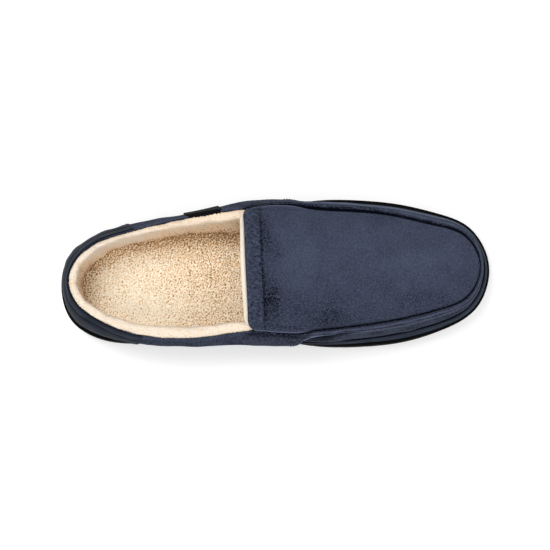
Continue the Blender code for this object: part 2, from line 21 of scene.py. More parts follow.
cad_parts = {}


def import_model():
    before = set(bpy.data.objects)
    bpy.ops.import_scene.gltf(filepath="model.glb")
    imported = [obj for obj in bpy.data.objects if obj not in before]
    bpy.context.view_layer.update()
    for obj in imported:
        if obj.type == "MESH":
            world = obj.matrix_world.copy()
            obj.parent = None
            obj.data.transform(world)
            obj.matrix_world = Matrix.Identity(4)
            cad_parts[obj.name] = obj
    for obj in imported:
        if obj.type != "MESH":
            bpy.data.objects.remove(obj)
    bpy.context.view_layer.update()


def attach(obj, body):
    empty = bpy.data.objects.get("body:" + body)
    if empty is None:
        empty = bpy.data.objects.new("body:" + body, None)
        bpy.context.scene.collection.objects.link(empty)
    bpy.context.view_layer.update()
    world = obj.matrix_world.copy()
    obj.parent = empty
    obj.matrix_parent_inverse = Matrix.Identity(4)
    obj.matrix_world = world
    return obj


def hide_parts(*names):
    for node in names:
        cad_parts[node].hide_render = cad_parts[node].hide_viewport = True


LOG = logging.getLogger("clog_slipper")
MM = 0.001
TONE = "tone"
UP = np.array([0.0, 0.0, 1.0])

Array = np.ndarray
Colour = tuple[float, float, float, float]
Material = bpy.types.Material
Pieces = list[bpy.types.Object]
Pairs = tuple[tuple[float, float], ...]
Triples = tuple[tuple[float, float, float], ...]


class Side(Enum):
    """Side of the foot, as the sign of Y."""

    OUTER = 1
    INNER = -1


class Slot(Enum):
    """Material slots of the record."""

    RUBBER = "rubber"
    VELOUR = "velour"
    SMOOTH_CLOTH = "smooth_cloth"
    FLEECE = "fleece"
    RIBBON = "ribbon"


class Breadths(NamedTuple):
    """Half breadths of each ring at one section, to the inner and the outer side of the foot."""

    at: float
    sole_in: float
    sole_out: float
    welt_in: float
    welt_out: float
    belly_in: float
    belly_out: float
    top_in: float
    top_out: float
    seam_in: float
    seam_out: float


class Heights(NamedTuple):
    """Heights at one section: rubber side, foxing, widest line, collar or seam, apron edge and middle."""

    side: float
    welt: float
    belly: float
    top: float
    seam: float
    crown: float


BREADTHS = (
    Breadths(0.000, 0, 0, 0, 0, 0, 0, 0, 0, 0, 0),
    Breadths(0.023, 23.2, 22.4, 21.2, 20.8, 21.3, 20.6, 16.5, 16.0, 13.5, 13.0),
    Breadths(0.070, 33.6, 32.8, 31.0, 30.4, 31.6, 30.5, 26.8, 26.0, 23.9, 23.0),
    Breadths(0.140, 38.8, 38.8, 36.8, 37.0, 39.4, 37.4, 35.9, 32.3, 32.9, 29.5),
    Breadths(0.234, 38.4, 42.1, 38.2, 41.0, 44.3, 42.2, 40.7, 37.9, 37.7, 35.5),
    Breadths(0.327, 34.5, 42.9, 37.8, 42.6, 45.5, 45.4, 41.2, 42.2, 39.0, 40.0),
    Breadths(0.424, 33.1, 45.2, 38.4, 45.6, 46.2, 50.3, 39.2, 44.0, 37.4, 42.5),
    Breadths(0.515, 42.0, 49.0, 42.4, 48.4, 48.2, 51.4, 42.2, 45.8, 39.6, 43.8),
    Breadths(0.608, 47.8, 52.2, 44.4, 48.8, 46.8, 49.0, 43.2, 45.0, 39.7, 41.0),
    Breadths(0.702, 48.9, 51.0, 44.3, 46.4, 44.4, 46.2, 41.6, 42.9, 37.7, 38.8),
    Breadths(0.795, 47.0, 47.0, 41.6, 42.1, 41.7, 41.9, 38.7, 39.3, 34.6, 35.1),
    Breadths(0.889, 39.8, 39.0, 35.6, 35.3, 35.8, 35.4, 33.0, 32.9, 29.4, 28.4),
    Breadths(0.959, 29.0, 28.3, 26.0, 25.8, 26.2, 26.0, 25.0, 25.0, 22.4, 21.6),
    Breadths(0.985, 18.4, 17.5, 16.4, 15.9, 16.8, 16.3, 16.4, 16.1, 14.6, 14.2),
    Breadths(1.000, 0, 0, 0, 0, 0, 0, 0, 0, 0, 0),
)

HEIGHTS = (
    Heights(17.0, 26.0, 40.0, 58.0, 60.0, 96.0),
    Heights(17.0, 26.0, 40.0, 58.0, 60.0, 96.0),
    Heights(17.0, 26.0, 40.0, 57.2, 59.0, 95.0),
    Heights(16.5, 25.5, 39.0, 55.8, 57.5, 94.0),
    Heights(16.0, 25.0, 38.0, 53.8, 55.5, 92.0),
    Heights(15.5, 24.5, 37.5, 53.8, 55.0, 90.0),
    Heights(15.0, 24.0, 38.0, 60.0, 62.0, 86.0),
    Heights(15.0, 23.5, 38.0, 58.0, 60.5, 82.0),
    Heights(15.0, 23.0, 36.5, 52.8, 56.0, 76.0),
    Heights(15.0, 23.0, 35.0, 48.8, 52.2, 68.5),
    Heights(15.5, 23.5, 34.0, 45.6, 48.8, 60.5),
    Heights(16.5, 24.5, 33.5, 43.2, 46.0, 52.8),
    Heights(18.0, 25.8, 33.5, 41.6, 44.0, 46.8),
    Heights(18.7, 26.3, 33.5, 41.0, 43.4, 44.5),
    Heights(19.0, 26.5, 33.5, 40.6, 43.2, 43.2),
)


class Wire:
    """An output socket of a material's nodes that can stand in Python expressions."""

    def __init__(self, recipe: Recipe, socket: bpy.types.NodeSocket) -> None:
        """Keeps the socket and the recipe that it belongs to."""
        self.recipe = recipe
        self.socket = socket

    def maths(self, operation: str, first: float | Wire, second: float | Wire) -> Wire:
        """Adds a Math node on two values."""
        return self.recipe.add("ShaderNodeMath", {"operation": operation}, {0: first, 1: second})

    def __add__(self, other: float | Wire) -> Wire:
        """Sum."""
        return self.maths("ADD", self, other)

    def __radd__(self, other: float | Wire) -> Wire:
        """Sum, the other way round."""
        return self.maths("ADD", other, self)

    def __sub__(self, other: float | Wire) -> Wire:
        """Difference."""
        return self.maths("SUBTRACT", self, other)

    def __mul__(self, other: float | Wire) -> Wire:
        """Product."""
        return self.maths("MULTIPLY", self, other)

    def clamped(self) -> Wire:
        """The value held between 0 and 1."""
        return self.recipe.add("ShaderNodeClamp", {}, {"Value": self, "Min": 0.0, "Max": 1.0})


class Recipe:
    """Nodes of one material, put together step by step."""

    def __init__(self, name: str) -> None:
        """Starts an empty material.

        Args:
            name: Name of the material.
        """
        self.material = bpy.data.materials.new(name)
        self.material.use_nodes = True
        self.tree = self.material.node_tree
        self.tree.nodes.clear()

    def add(
        self,
        kind: str,
        settings: dict[str, object],
        sockets: dict[str | int, object],
        out: str | int = 0,
    ) -> Wire:
        """Adds a node.

        Args:
            kind: Blender's name of the node's type.
            settings: Properties of the node, which are set first.
            sockets: Values or wires of its inputs, by name or number.
            out: Name or number of the output that is wanted.

        Returns:
            The wire that comes out of it.
        """
        node = self.tree.nodes.new(kind)
        for name, value in settings.items():
            setattr(node, name, value)
        for key, value in sockets.items():
            if isinstance(value, Wire):
                self.tree.links.new(value.socket, node.inputs[key])
            else:
                node.inputs[key].default_value = value
        return Wire(self, node.outputs[out])

    def place(self) -> Wire:
        """Object coordinates, in metres."""
        return self.add("ShaderNodeTexCoord", {}, {}, "Object")

    def tone(self) -> Wire:
        """The tone that a mesh carries at its points."""
        return self.add("ShaderNodeAttribute", {"attribute_name": TONE}, {}, "Fac")

    def noise(self, where: Wire, scale: float, detail: float = 2.0) -> Wire:
        """Cloudy noise about 0.

        Args:
            where: Coordinates in metres.
            scale: Clouds per metre.
            detail: Number of finer layers.

        Returns:
            The noise, between about -0.5 and 0.5.
        """
        sockets = {"Vector": where, "Scale": scale, "Detail": detail}
        return self.add("ShaderNodeTexNoise", {}, sockets, "Fac") - 0.5

    def stretched(self, where: Wire, along: tuple[float, float, float]) -> Wire:
        """Coordinates stretched along the axes."""
        sockets = {0: where, 1: along}
        return self.add("ShaderNodeVectorMath", {"operation": "MULTIPLY"}, sockets)

    def mix(self, share: Wire, first: Colour | Wire, second: Colour | Wire) -> Wire:
        """Mixes two colours."""
        settings = {"data_type": "RGBA", "clamp_factor": True}
        return self.add("ShaderNodeMix", settings, {0: share, 6: first, 7: second}, 2)

    def bump(self, height: Wire, depth: float, strength: float = 1.0) -> Wire:
        """Normals of a relief.

        Args:
            height: Relief from 0 to 1 or so.
            depth: Depth of the relief in metres.
            strength: Share of it that shows.

        Returns:
            The normal.
        """
        return self.add("ShaderNodeBump", {}, {"Strength": strength, "Distance": depth, "Height": height})

    def surface(
        self,
        colour: Wire,
        roughness: Wire | float,
        normal: Wire,
        constants: dict[str, object],
    ) -> Material:
        """Ends the recipe with a surface shader.

        Args:
            colour: Base colour.
            roughness: Roughness.
            normal: Normal.
            constants: Values of the shader's other sockets.

        Returns:
            The material.
        """
        sockets = {"Base Color": colour, "Roughness": roughness, "Normal": normal, **constants}
        shader = self.add("ShaderNodeBsdfPrincipled", {}, sockets)
        output = self.tree.nodes.new("ShaderNodeOutputMaterial")
        self.tree.links.new(shader.socket, output.inputs["Surface"])
        return self.material


@dataclass(frozen=True)
class Finish(ABC):
    """A finish: its material and the record's slot that it belongs to."""

    name: str
    slot: Slot | None

    def material(self) -> Material:
        """The finish's material, made once."""
        return bpy.data.materials.get(self.name) or self.mixed()

    @abstractmethod
    def mixed(self) -> Material:
        """Makes the material."""


@dataclass(frozen=True)
class Velour(Finish):
    """Short napped velour, mottled where the nap lies another way; the meshes' tone adds painted shade and
    painted highlights as well as patches of crushed nap.
    """

    deep: Colour = (0.0025, 0.0035, 0.008, 1)
    light: Colour = (0.130, 0.157, 0.243, 1)
    middle: float = 0.289
    tone_gain: float = 0.2
    clouds: float = 62.0
    cloud_gain: float = 0.07
    grain: float = 925.0
    grain_gain: float = 0.32
    crushed_and_shaded_gain: float = 0.85
    fibre: float = 1150.0
    fibre_gain: float = 0.29
    relief: float = 0.0004
    sheen: float = 0.05

    def mixed(self) -> Material:
        """Makes the material.

        Returns:
            The material.
        """
        recipe = Recipe(self.name)
        where = recipe.place()
        clouds = recipe.noise(where, self.clouds, 3)
        grain = recipe.noise(where, self.grain, 2)
        fibre = recipe.noise(recipe.stretched(where, (1.0, 0.6, 1.0)), self.fibre, 1)
        nap_and_painted_light = recipe.tone()
        # Low tones are mostly painted shade and partly crushed nap; the grain is stronger there.
        crushed_and_shaded = (nap_and_painted_light * -1.0).clamped()
        tone = nap_and_painted_light * self.tone_gain + self.middle + clouds * self.cloud_gain
        tone = tone + grain * (crushed_and_shaded * self.crushed_and_shaded_gain + self.grain_gain) + fibre * self.fibre_gain
        colour = recipe.mix(tone.clamped(), self.deep, self.light)
        normal = recipe.bump(grain + fibre * 0.6, self.relief, 0.8)
        roughness = 0.86 + clouds * 0.2
        constants = {
            "Sheen Weight": self.sheen,
            "Sheen Roughness": 0.4,
            "Sheen Tint": (0.55, 0.62, 0.85, 1),
            "Specular IOR Level": 0.02,
        }
        return recipe.surface(colour, roughness, normal, constants)


@dataclass(frozen=True)
class SmoothCloth(Finish):
    """Smooth, slightly glossy woven cloth."""

    deep: Colour = (0.003, 0.005, 0.009, 1)
    light: Colour = (0.030, 0.041, 0.066, 1)
    weave: float = 1500.0
    relief: float = 0.00012

    def mixed(self) -> Material:
        """Makes the material.

        Returns:
            The material.
        """
        recipe = Recipe(self.name)
        where = recipe.place()
        clouds = recipe.noise(where, 48.0, 3)
        thread = recipe.noise(recipe.stretched(where, (1.0, 1.0, 0.35)), self.weave, 1)
        tone = recipe.tone() * 0.5 + 0.45 + clouds * 0.34 + thread * 0.3
        colour = recipe.mix(tone.clamped(), self.deep, self.light)
        normal = recipe.bump(thread, self.relief, 0.6)
        roughness = 0.58 + clouds * 0.22 + thread * 0.12
        constants = {"Specular IOR Level": 0.03}
        return recipe.surface(colour, roughness, normal, constants)


@dataclass(frozen=True)
class Fleece(Finish):
    """Looped cream fleece: bright tips over warm, darker gaps; the tone is the height in the pile, and low
    tones also paint the shade between the loops and inside the shoe.
    """

    # gap and warm are painted shade: the dark between the loops and in the shoe's corners, warmed like light
    # bounced off cream fleece.
    gap: Colour = (0.36, 0.23, 0.13, 1)
    warm: Colour = (0.78, 0.53, 0.31, 1)
    tip: Colour = (0.760, 0.685, 0.590, 1)
    turn: float = 0.4
    loop: float = 950.0
    loop_gain: float = 0.8
    relief: float = 0.0005

    def mixed(self) -> Material:
        """Makes the material.

        Returns:
            The material.
        """
        recipe = Recipe(self.name)
        where = recipe.place()
        loops = recipe.noise(where, self.loop, 2)
        clouds = recipe.noise(where, 90.0, 2)
        tone = recipe.tone() + loops * self.loop_gain + clouds * 0.12
        below = recipe.mix((tone * (1 / self.turn)).clamped(), self.gap, self.warm)
        colour = recipe.mix(((tone - self.turn) * (1 / (1 - self.turn))).clamped(), below, self.tip)
        normal = recipe.bump(loops, self.relief, 0.75)
        roughness = 0.94 + loops * 0.08
        constants = {
            "Sheen Weight": 0.12,
            "Sheen Roughness": 0.5,
            "Sheen Tint": (1.0, 0.93, 0.8, 1),
            "Specular IOR Level": 0.05,
        }
        return recipe.surface(colour, roughness, normal, constants)


@dataclass(frozen=True)
class Rubber(Finish):
    """Matt moulded rubber, greyer where it is raised, because the meshes' tone paints shade into its
    recesses and down its sides.
    """

    deep: Colour = (0.0015, 0.0015, 0.0016, 1)
    light: Colour = (0.088, 0.088, 0.090, 1)
    grain: float = 1300.0
    relief: float = 0.00014

    def mixed(self) -> Material:
        """Makes the material.

        Returns:
            The material.
        """
        recipe = Recipe(self.name)
        where = recipe.place()
        grain = recipe.noise(where, self.grain, 2)
        dust = recipe.noise(where, 110.0, 4)
        tone = recipe.tone() * 0.6 + 0.36 + dust * 0.3 + grain * 0.18
        colour = recipe.mix(tone.clamped(), self.deep, self.light)
        normal = recipe.bump(grain, self.relief, 0.5)
        roughness = 0.66 + dust * 0.25 + grain * 0.1
        return recipe.surface(colour, roughness, normal, {"Specular IOR Level": 0.05})


@dataclass(frozen=True)
class Thread(Finish):
    """Twisted sewing thread or woven ribbon in one colour."""

    dark: Colour = (0.008, 0.010, 0.017, 1)
    bright: Colour = (0.030, 0.036, 0.058, 1)
    twist: float = 2600.0

    def mixed(self) -> Material:
        """Makes the material.

        Returns:
            The material.
        """
        recipe = Recipe(self.name)
        where = recipe.stretched(recipe.place(), (1.0, 0.6, 2.2))
        strands = recipe.noise(where, self.twist, 1)
        colour = recipe.mix((recipe.tone() * 0.4 + 0.4 + strands).clamped(), self.dark, self.bright)
        normal = recipe.bump(strands, 0.00012, 0.7)
        roughness = 0.68 + strands * 0.2
        return recipe.surface(colour, roughness, normal, {"Specular IOR Level": 0.03})


@dataclass(frozen=True)
class FloorPaint(Finish):
    """Plain pale studio floor that glows faintly: painted light that lifts the floor and softens its
    shadows.
    """

    shade: Colour = (0.93, 0.93, 0.93, 1)
    bright: Colour = (0.96, 0.96, 0.96, 1)
    glow: float = 0.17

    def mixed(self) -> Material:
        """Makes the material.

        Returns:
            The material.
        """
        recipe = Recipe(self.name)
        clouds = recipe.noise(recipe.place(), 2.0, 1)
        colour = recipe.mix((clouds + 0.5).clamped(), self.shade, self.bright)
        normal = recipe.bump(clouds, 0.00001, 0.1)
        constants = {
            "Specular IOR Level": 0.0,
            "Emission Color": (1, 1, 1, 1),
            "Emission Strength": self.glow,
        }
        return recipe.surface(colour, 0.9, normal, constants)


VELOUR = Velour("navy_velour", Slot.VELOUR)
SMOOTH_CLOTH = SmoothCloth("navy_smooth_cloth", Slot.SMOOTH_CLOTH)
LINING_FLEECE = Fleece("cream_fleece", Slot.FLEECE)
# The footbed's gap and warm colours are likewise painted shade between its tufts.
FOOTBED_FLEECE = Fleece(
    "cream_looped_fleece",
    Slot.FLEECE,
    gap=(0.24, 0.15, 0.08, 1),
    warm=(0.64, 0.41, 0.215, 1),
    tip=(0.95, 0.885, 0.73, 1),
    loop=1150.0,
    loop_gain=0.85,
    relief=0.0007,
)
RUBBER = Rubber("black_rubber", Slot.RUBBER)
NAVY_THREAD = Thread("navy_thread", Slot.SMOOTH_CLOTH)
BLACK_RIBBON = Thread(
    "black_ribbon",
    Slot.RIBBON,
    dark=(0.001, 0.001, 0.0015, 1),
    bright=(0.007, 0.007, 0.008, 1),
    twist=1800.0,
)
PALE_FLOOR = FloorPaint("pale_floor", None)


def ease(low: float | Array, high: float | Array, value: float | Array) -> Array:
    """Eases from 0 at one value to 1 at another.

    Args:
        low: Where it begins.
        high: Where it ends.
        value: Values to read it at.

    Returns:
        The shares.
    """
    share = np.clip((np.asarray(value, float) - low) / (np.asarray(high, float) - low), 0, 1)
    return share * share * (3 - 2 * share)


def bell(value: float | Array, centre: float | Array, width: float | Array) -> Array:
    """A soft hump of height 1.

    Args:
        value: Values to read it at.
        centre: Where it is highest.
        width: Distance at which it has fallen to about a third.

    Returns:
        The heights.
    """
    return np.exp(-(((np.asarray(value, float) - centre) / width) ** 2))


def spline_moments(steps: Array, values: Array, closed: bool) -> Array:
    """Second derivatives of the cubic spline through values.

    Args:
        steps: Distances between the knots.
        values: Points at the knots.
        closed: Whether the curve closes on itself; open ends are natural.

    Returns:
        One derivative for each point.
    """
    count = len(values)
    matrix = np.eye(count)
    right = np.zeros_like(values)
    for i in range(count) if closed else range(1, count - 1):
        before, after = steps[i - 1], steps[i % len(steps)]
        ahead = (i + 1) % count
        matrix[i, i] = 2 * (before + after)
        matrix[i, i - 1] += before
        matrix[i, ahead] += after
        right[i] = 6 * ((values[ahead] - values[i]) / after - (values[i] - values[i - 1]) / before)
    return np.linalg.solve(matrix, right.reshape(count, -1)).reshape(values.shape)


def spline(knots: Sequence[float], values: Array, at: Array, closed: bool = False) -> Array:
    """Reads a cubic spline.

    Args:
        knots: Rising parameters of the points, and one more where the curve is closed.
        values: Points, or whole grids of points, at the knots.
        at: Parameters to read it at.
        closed: Whether the curve closes on itself.

    Returns:
        One point or grid for each parameter.
    """
    values = np.asarray(values, float)
    knots = np.asarray(knots, float)
    at = np.atleast_1d(np.asarray(at, float))
    steps = np.diff(knots)
    moments = spline_moments(steps, values, closed)
    if closed:
        at = np.mod(at, knots[-1])
    k = np.clip(np.searchsorted(knots, at, side="right") - 1, 0, len(steps) - 1)
    ahead = (k + 1) % len(values)
    shape = (-1,) + (1,) * (values.ndim - 1)
    step = steps[k].reshape(shape)
    b = ((at - knots[k]) / steps[k]).reshape(shape)
    a = 1 - b
    bend = (a**3 - a) * moments[k] + (b**3 - b) * moments[ahead]
    return a * values[k] + b * values[ahead] + bend * step**2 / 6


def smoothed(controls: Sequence[Array], count: int) -> Array:
    """Points or rows of points, evenly read from the spline through a few of them."""
    return spline(range(len(controls)), controls, np.linspace(0, len(controls) - 1, count))


def blend(first: Array, second: Array, share: float | Array) -> Array:
    """Goes from one value to another with a share from 0 to 1."""
    return first * (1 - share) + second * share


def grown(points: Array, by: float | Array) -> Array:
    """Moves a closed ring outwards in plan.

    Args:
        points: Points of the ring, clockwise seen from above.
        by: One distance, or one for each point.

    Returns:
        The moved ring.
    """
    along = np.roll(points, -1, axis=0) - np.roll(points, 1, axis=0)
    out = np.column_stack([-along[:, 1], along[:, 0]])
    out /= np.linalg.norm(out, axis=1)[:, None]
    moved = points.copy()
    moved[:, :2] += out * np.broadcast_to(by, len(points))[:, None]
    return moved


def edge_to_edge(steps: int) -> Array:
    """Shares from -1 to 1, closer together at both ends."""
    return np.sin(np.linspace(-1, 1, steps + 1) * np.pi / 2)


def run_along(path: Array) -> Array:
    """Distances along a path from its first point."""
    return np.append(0, np.cumsum(np.linalg.norm(np.diff(path, axis=0), axis=1)))


def at_height(points: Array, z: float | Array) -> Array:
    """The same ring at other heights."""
    return np.column_stack([points[:, :2], np.broadcast_to(z, len(points))])


def grid_normals(points: Array, closed: bool = False) -> Array:
    """Unit normals of a grid of points.

    Args:
        points: Rows of points.
        closed: Whether each row closes on itself.

    Returns:
        One normal for each point.
    """
    if closed:
        points = np.concatenate([points[:, -1:], points, points[:, :1]], axis=1)
    normal = np.cross(np.gradient(points, axis=0), np.gradient(points, axis=1))
    normal /= np.maximum(np.linalg.norm(normal, axis=2), 1e-9)[:, :, None]
    return normal[:, 1:-1] if closed else normal


def upward(normals: Array) -> Array:
    """Normals turned to face up."""
    return normals * np.where(normals[..., 2:] < 0, -1.0, 1.0)


def within(points: Array, outline: Array) -> Array:
    """Tells which points in plan lie inside a closed outline.

    Args:
        points: Points in plan.
        outline: Corners of the outline.

    Returns:
        True for each point inside.
    """
    x, y = points[:, 0:1], points[:, 1:2]
    x0, y0 = outline[:, 0], outline[:, 1]
    x1, y1 = np.roll(x0, -1), np.roll(y0, -1)
    rise = np.where(y1 == y0, 1e-12, y1 - y0)
    crosses = ((y0 > y) != (y1 > y)) & (x < x0 + (y - y0) * (x1 - x0) / rise)
    return crosses.sum(axis=1) % 2 == 1


@dataclass
class Last:
    """Shape that the slipper is built on: rings round it, and the surfaces that run through them."""

    length: float = 292.0
    gap: float = 0.3
    cup_wall: float = 4.0
    plate: float = 8.5
    toe_spring: float = 5.0
    toe_spring_from: float = 0.74
    heel_bevel: float = 1.2
    heel_bevel_to: float = 0.06
    arch_lift: float = 1.5
    arch_at: float = 0.41
    arch_reach: float = 0.11
    throat_row: int = 6
    throat_bow: float = 1.4
    throat_bow_power: int = 8
    throat_bow_reach: float = 24.0
    throat_corner: float = 6.0
    throat_corner_reach: float = 16.0
    apron_half: float = 39.0
    crown_power: float = 2.2
    side_ease: float = 12.0
    fine_reach: float = 14.0
    collar_edges: Triples = (
        (0.00, 0.40, 0.40),
        (0.07, 0.40, 0.80),
        (0.14, 0.70, 1.20),
        (0.50, 0.70, 1.30),
        (1.00, 1.00, 1.00),
    )
    rear_columns: int = 18
    front_columns: int = 21
    wall_samples: int = 61
    ends: dict[str, tuple[float, float]] = field(default_factory=lambda: {
        "sole": (0.0, 0.0),
        "welt": (3.2, 4.6),
        "belly": (4.0, 5.2),
        "top": (9.0, 6.2),
        "seam": (12.0, 8.9),
    })

    def __post_init__(self) -> None:
        """Works out the loop's parameters and the middle of the slipper."""
        x = np.array([row.at for row in BREADTHS]) * self.length
        y = np.array([(row.sole_in + row.sole_out) / 2 for row in BREADTHS])
        self.knots = run_along(np.column_stack([x, y]))
        self.toe_at = float(self.knots[-1])
        self.throat_at = float(self.knots[self.throat_row])
        self.loop_knots = np.concatenate([self.knots, 2 * self.toe_at - self.knots[-2::-1]])
        rear = np.linspace(0, self.throat_at, self.rear_columns, endpoint=False)
        half = np.concatenate([rear, np.linspace(self.throat_at, self.toe_at, self.front_columns + 1)])
        self.columns = self.round_both(half)
        widest = np.concatenate([self.ring(name, self.columns, "side")[:, 1] for name in ("sole", "belly")])
        self.middle = np.array([self.length / 2, (widest.min() + widest.max()) / 2, 0])
        self.throat_x = float(self.ring("seam", [self.throat_at], "seam")[0, 0])
        self.half_samples = np.linspace(0, self.toe_at, 600)
        self.apron_samples = np.linspace(self.throat_at, self.toe_at, 400)

    def ring(self, name: str, at: Array, height: str) -> Array:
        """Points of a named ring.

        Args:
            name: Ring of the table of breadths.
            at: Loop parameters, from the heel round the outer side.
            height: Column of the table of heights.

        Returns:
            One point for each parameter.
        """
        heel, toe = self.ends[name]
        x = heel + np.array([row.at for row in BREADTHS]) * (self.length - toe - heel)
        z = np.array([getattr(row, height) for row in HEIGHTS])
        outer = np.column_stack([x, [getattr(row, name + "_out") for row in BREADTHS], z])
        inner = np.column_stack([x, [-getattr(row, name + "_in") for row in BREADTHS], z])
        return spline(self.loop_knots, np.vstack([outer, inner[-2:0:-1]]), at, closed=True)

    def round_both(self, half: Array) -> Array:
        """Loop parameters of the outer half, carried on round the inner half."""
        return np.concatenate([half, 2 * self.toe_at - half[-2:0:-1]])

    def folded(self, at: Array) -> Array:
        """Loop parameters brought to the outer half."""
        at = np.mod(at, 2 * self.toe_at)
        return np.minimum(at, 2 * self.toe_at - at)

    def level(self, height: str, at: Array) -> Array:
        """One of the table's heights at loop parameters."""
        return spline(self.knots, [getattr(row, height) for row in HEIGHTS], self.folded(at))

    def along(self, values: Triples, at: Array) -> Array:
        """Reads a value that is given along both sides.

        Args:
            values: Shares of the length, each with the value on the inner and on the outer side.
            at: Loop parameters.

        Returns:
            One value for each parameter, eased between the sides at heel and toe.
        """
        share, inner, outer = np.array(values, float).T
        spots = self.ring("belly", at, "belly")
        towards = ease(-self.side_ease, self.side_ease, spots[:, 1])
        places = spots[:, 0] / self.length
        return blend(np.interp(places, share, inner), np.interp(places, share, outer), towards)

    def loop(self, step: float, front_step: float | None = None) -> Array:
        """Loop parameters about evenly spaced.

        Args:
            step: Spacing behind the throat, and ahead of it where no other is given.
            front_step: Spacing ahead of the throat.

        Returns:
            The parameters, alike on both sides.
        """
        turn = self.throat_at + self.fine_reach
        rear = np.linspace(0, turn, round(turn / step), endpoint=False)
        count = round((self.toe_at - turn) / (front_step or step))
        half = np.concatenate([rear, np.linspace(turn, self.toe_at, count + 1)])
        return self.round_both(half)

    def lift(self, x: float | Array) -> Array:
        """Height of the tread over the floor.

        Args:
            x: Places along the length.

        Returns:
            The heights.
        """
        share = np.asarray(x, float) / self.length
        toe = np.clip((share - self.toe_spring_from) / (1 - self.toe_spring_from), 0, None)
        heel = np.clip(1 - share / self.heel_bevel_to, 0, None)
        bow = np.cos(np.clip((share - self.arch_at) / self.arch_reach, -1, 1) * np.pi / 2)
        return self.toe_spring * toe**2 + self.heel_bevel * heel**2 + self.arch_lift * bow**2

    def over_ground(self, rise: float) -> Callable[[Array, Array], Array]:
        """Heights that follow the tread's lift, for a fill."""
        return lambda points, across: self.lift(points[..., 0]) + rise

    def outward(self, normals: Array, points: Array) -> Array:
        """Normals turned away from the middle of the slipper in plan."""
        away = ((points - self.middle) * normals)[..., :2].sum(axis=-1)
        return normals * np.where(away < 0, -1.0, 1.0)[..., None]

    def ahead_of_throat(self, x: Array) -> Array:
        """Shares that ease from the collar to the seam ahead of the throat, one row for each place."""
        return ease(self.throat_x - 2, self.throat_x + 5, x)[:, None]

    def wall(self, at: Array, rows: Array) -> Array:
        """Outside of the upper's wall.

        Args:
            at: Loop parameters.
            rows: 0 foot, 1 edge of the cup, 2 top of the foxing, 3 widest line, 4 collar or raised seam.

        Returns:
            Rows of points.
        """
        sole = self.ring("sole", self.columns, "side")
        cup = grown(sole, -self.cup_wall - self.gap)
        plan = spline(np.append(self.columns, 2 * self.toe_at), cup, at, closed=True)
        foot = at_height(plan, self.lift(plan[:, 0]) + self.plate + self.gap)
        edge = at_height(plan, self.level("side", at))
        rings = [foot, edge] + [self.ring(name, at, name) for name in ("welt", "belly", "top")]
        return spline(range(5), np.array(rings), rows)

    def wall_at(self, at: Array, z: float | Array, offset: float | Array) -> Array:
        """The wall's outside at given heights.

        Args:
            at: Loop parameters of a closed ring.
            z: One height, or one for each parameter.
            offset: Distance outwards from the wall.

        Returns:
            The ring.
        """
        columns = np.swapaxes(self.wall(at, np.linspace(0, 4, self.wall_samples)), 0, 1)
        z = np.broadcast_to(z, len(at))
        level = [
            [np.interp(height, column[:, 2], column[:, axis]) for axis in range(2)]
            for height, column in zip(z, columns)
        ]
        return grown(np.column_stack([level, z]), offset)

    def apron(self, at: Array, across: Array) -> Array:
        """Crowned apron over the instep, with the rounded corners of its throat.

        Args:
            at: Loop parameters of the outer side, from throat to toe.
            across: Shares from -1 at the inner side to 1 at the outer side.

        Returns:
            Rows of points across the foot.
        """
        at = np.asarray(at, float)
        across = np.asarray(across, float)
        outer = self.ring("seam", at, "seam")[:, None]
        inner = self.ring("seam", 2 * self.toe_at - at, "seam")[:, None]
        share = (across[None, :, None] + 1) / 2
        points = blend(inner, outer, share)
        crown = self.level("crown", at)[:, None] - points[:, :, 2]
        points[:, :, 2] += crown * (1 - np.abs(across) ** self.crown_power)
        ahead = outer[:, :, 0] - self.throat_x
        fade = np.clip(1 - ahead / self.throat_bow_reach, 0, 1) ** 2
        points[:, :, 0] += self.throat_bow * fade * (1 - np.abs(across) ** self.throat_bow_power)
        edge = (1 - np.abs(across)) * self.apron_half
        short = np.clip(self.throat_corner - edge, 0, None)
        corner = self.throat_corner - np.sqrt(np.clip(self.throat_corner**2 - short**2, 0, None))
        points[:, :, 0] += corner * np.clip(1 - ahead / self.throat_corner_reach, 0, 1) ** 2
        return points

    def apron_at(self, ahead: float | Array) -> Array:
        """Loop parameters of places ahead of the throat, measured along the apron's edge."""
        places = self.ring("seam", self.apron_samples, "seam")[:, 0]
        return np.interp(self.throat_x + np.asarray(ahead, float), places, self.apron_samples)

    def place(self, x: float, side: Side, name: str = "belly") -> float:
        """Loop parameter of a place along the length, on one side of a ring."""
        at = float(np.interp(x, self.ring(name, self.half_samples, "side")[:, 0], self.half_samples))
        return at if side is Side.OUTER else 2 * self.toe_at - at


@dataclass(frozen=True)
class Curls:
    """Seeded, seamless field of wormy curls or soft dents, read at places in millimetres."""

    seed: int
    wavelength: float
    spread: float = 0.35
    tile: float = 96.0
    cells: int = 384

    def at(self, u: Array, v: Array) -> Array:
        """Reads the field.

        Args:
            u: First coordinates.
            v: Second coordinates.

        Returns:
            Heights about 0, with a spread of 1.
        """
        noise = np.random.default_rng(self.seed).standard_normal((self.cells, self.cells))
        pace = np.fft.fftfreq(self.cells, self.tile / self.cells)
        radius = np.hypot(pace[:, None], pace[None, :]) * self.wavelength
        band = np.exp(-(((radius - 1) / self.spread) ** 2))
        made = np.fft.ifft2(np.fft.fft2(noise) * band).real
        made /= made.std()
        a, b = (np.asarray(value, float) / self.tile * self.cells for value in (u, v))
        i, j = np.floor(a).astype(int), np.floor(b).astype(int)
        a, b = a - i, b - j
        corner = [made[(i + di) % self.cells, (j + dj) % self.cells] for di in (0, 1) for dj in (0, 1)]
        return blend(blend(*corner[:2], b), blend(*corner[2:], b), a)


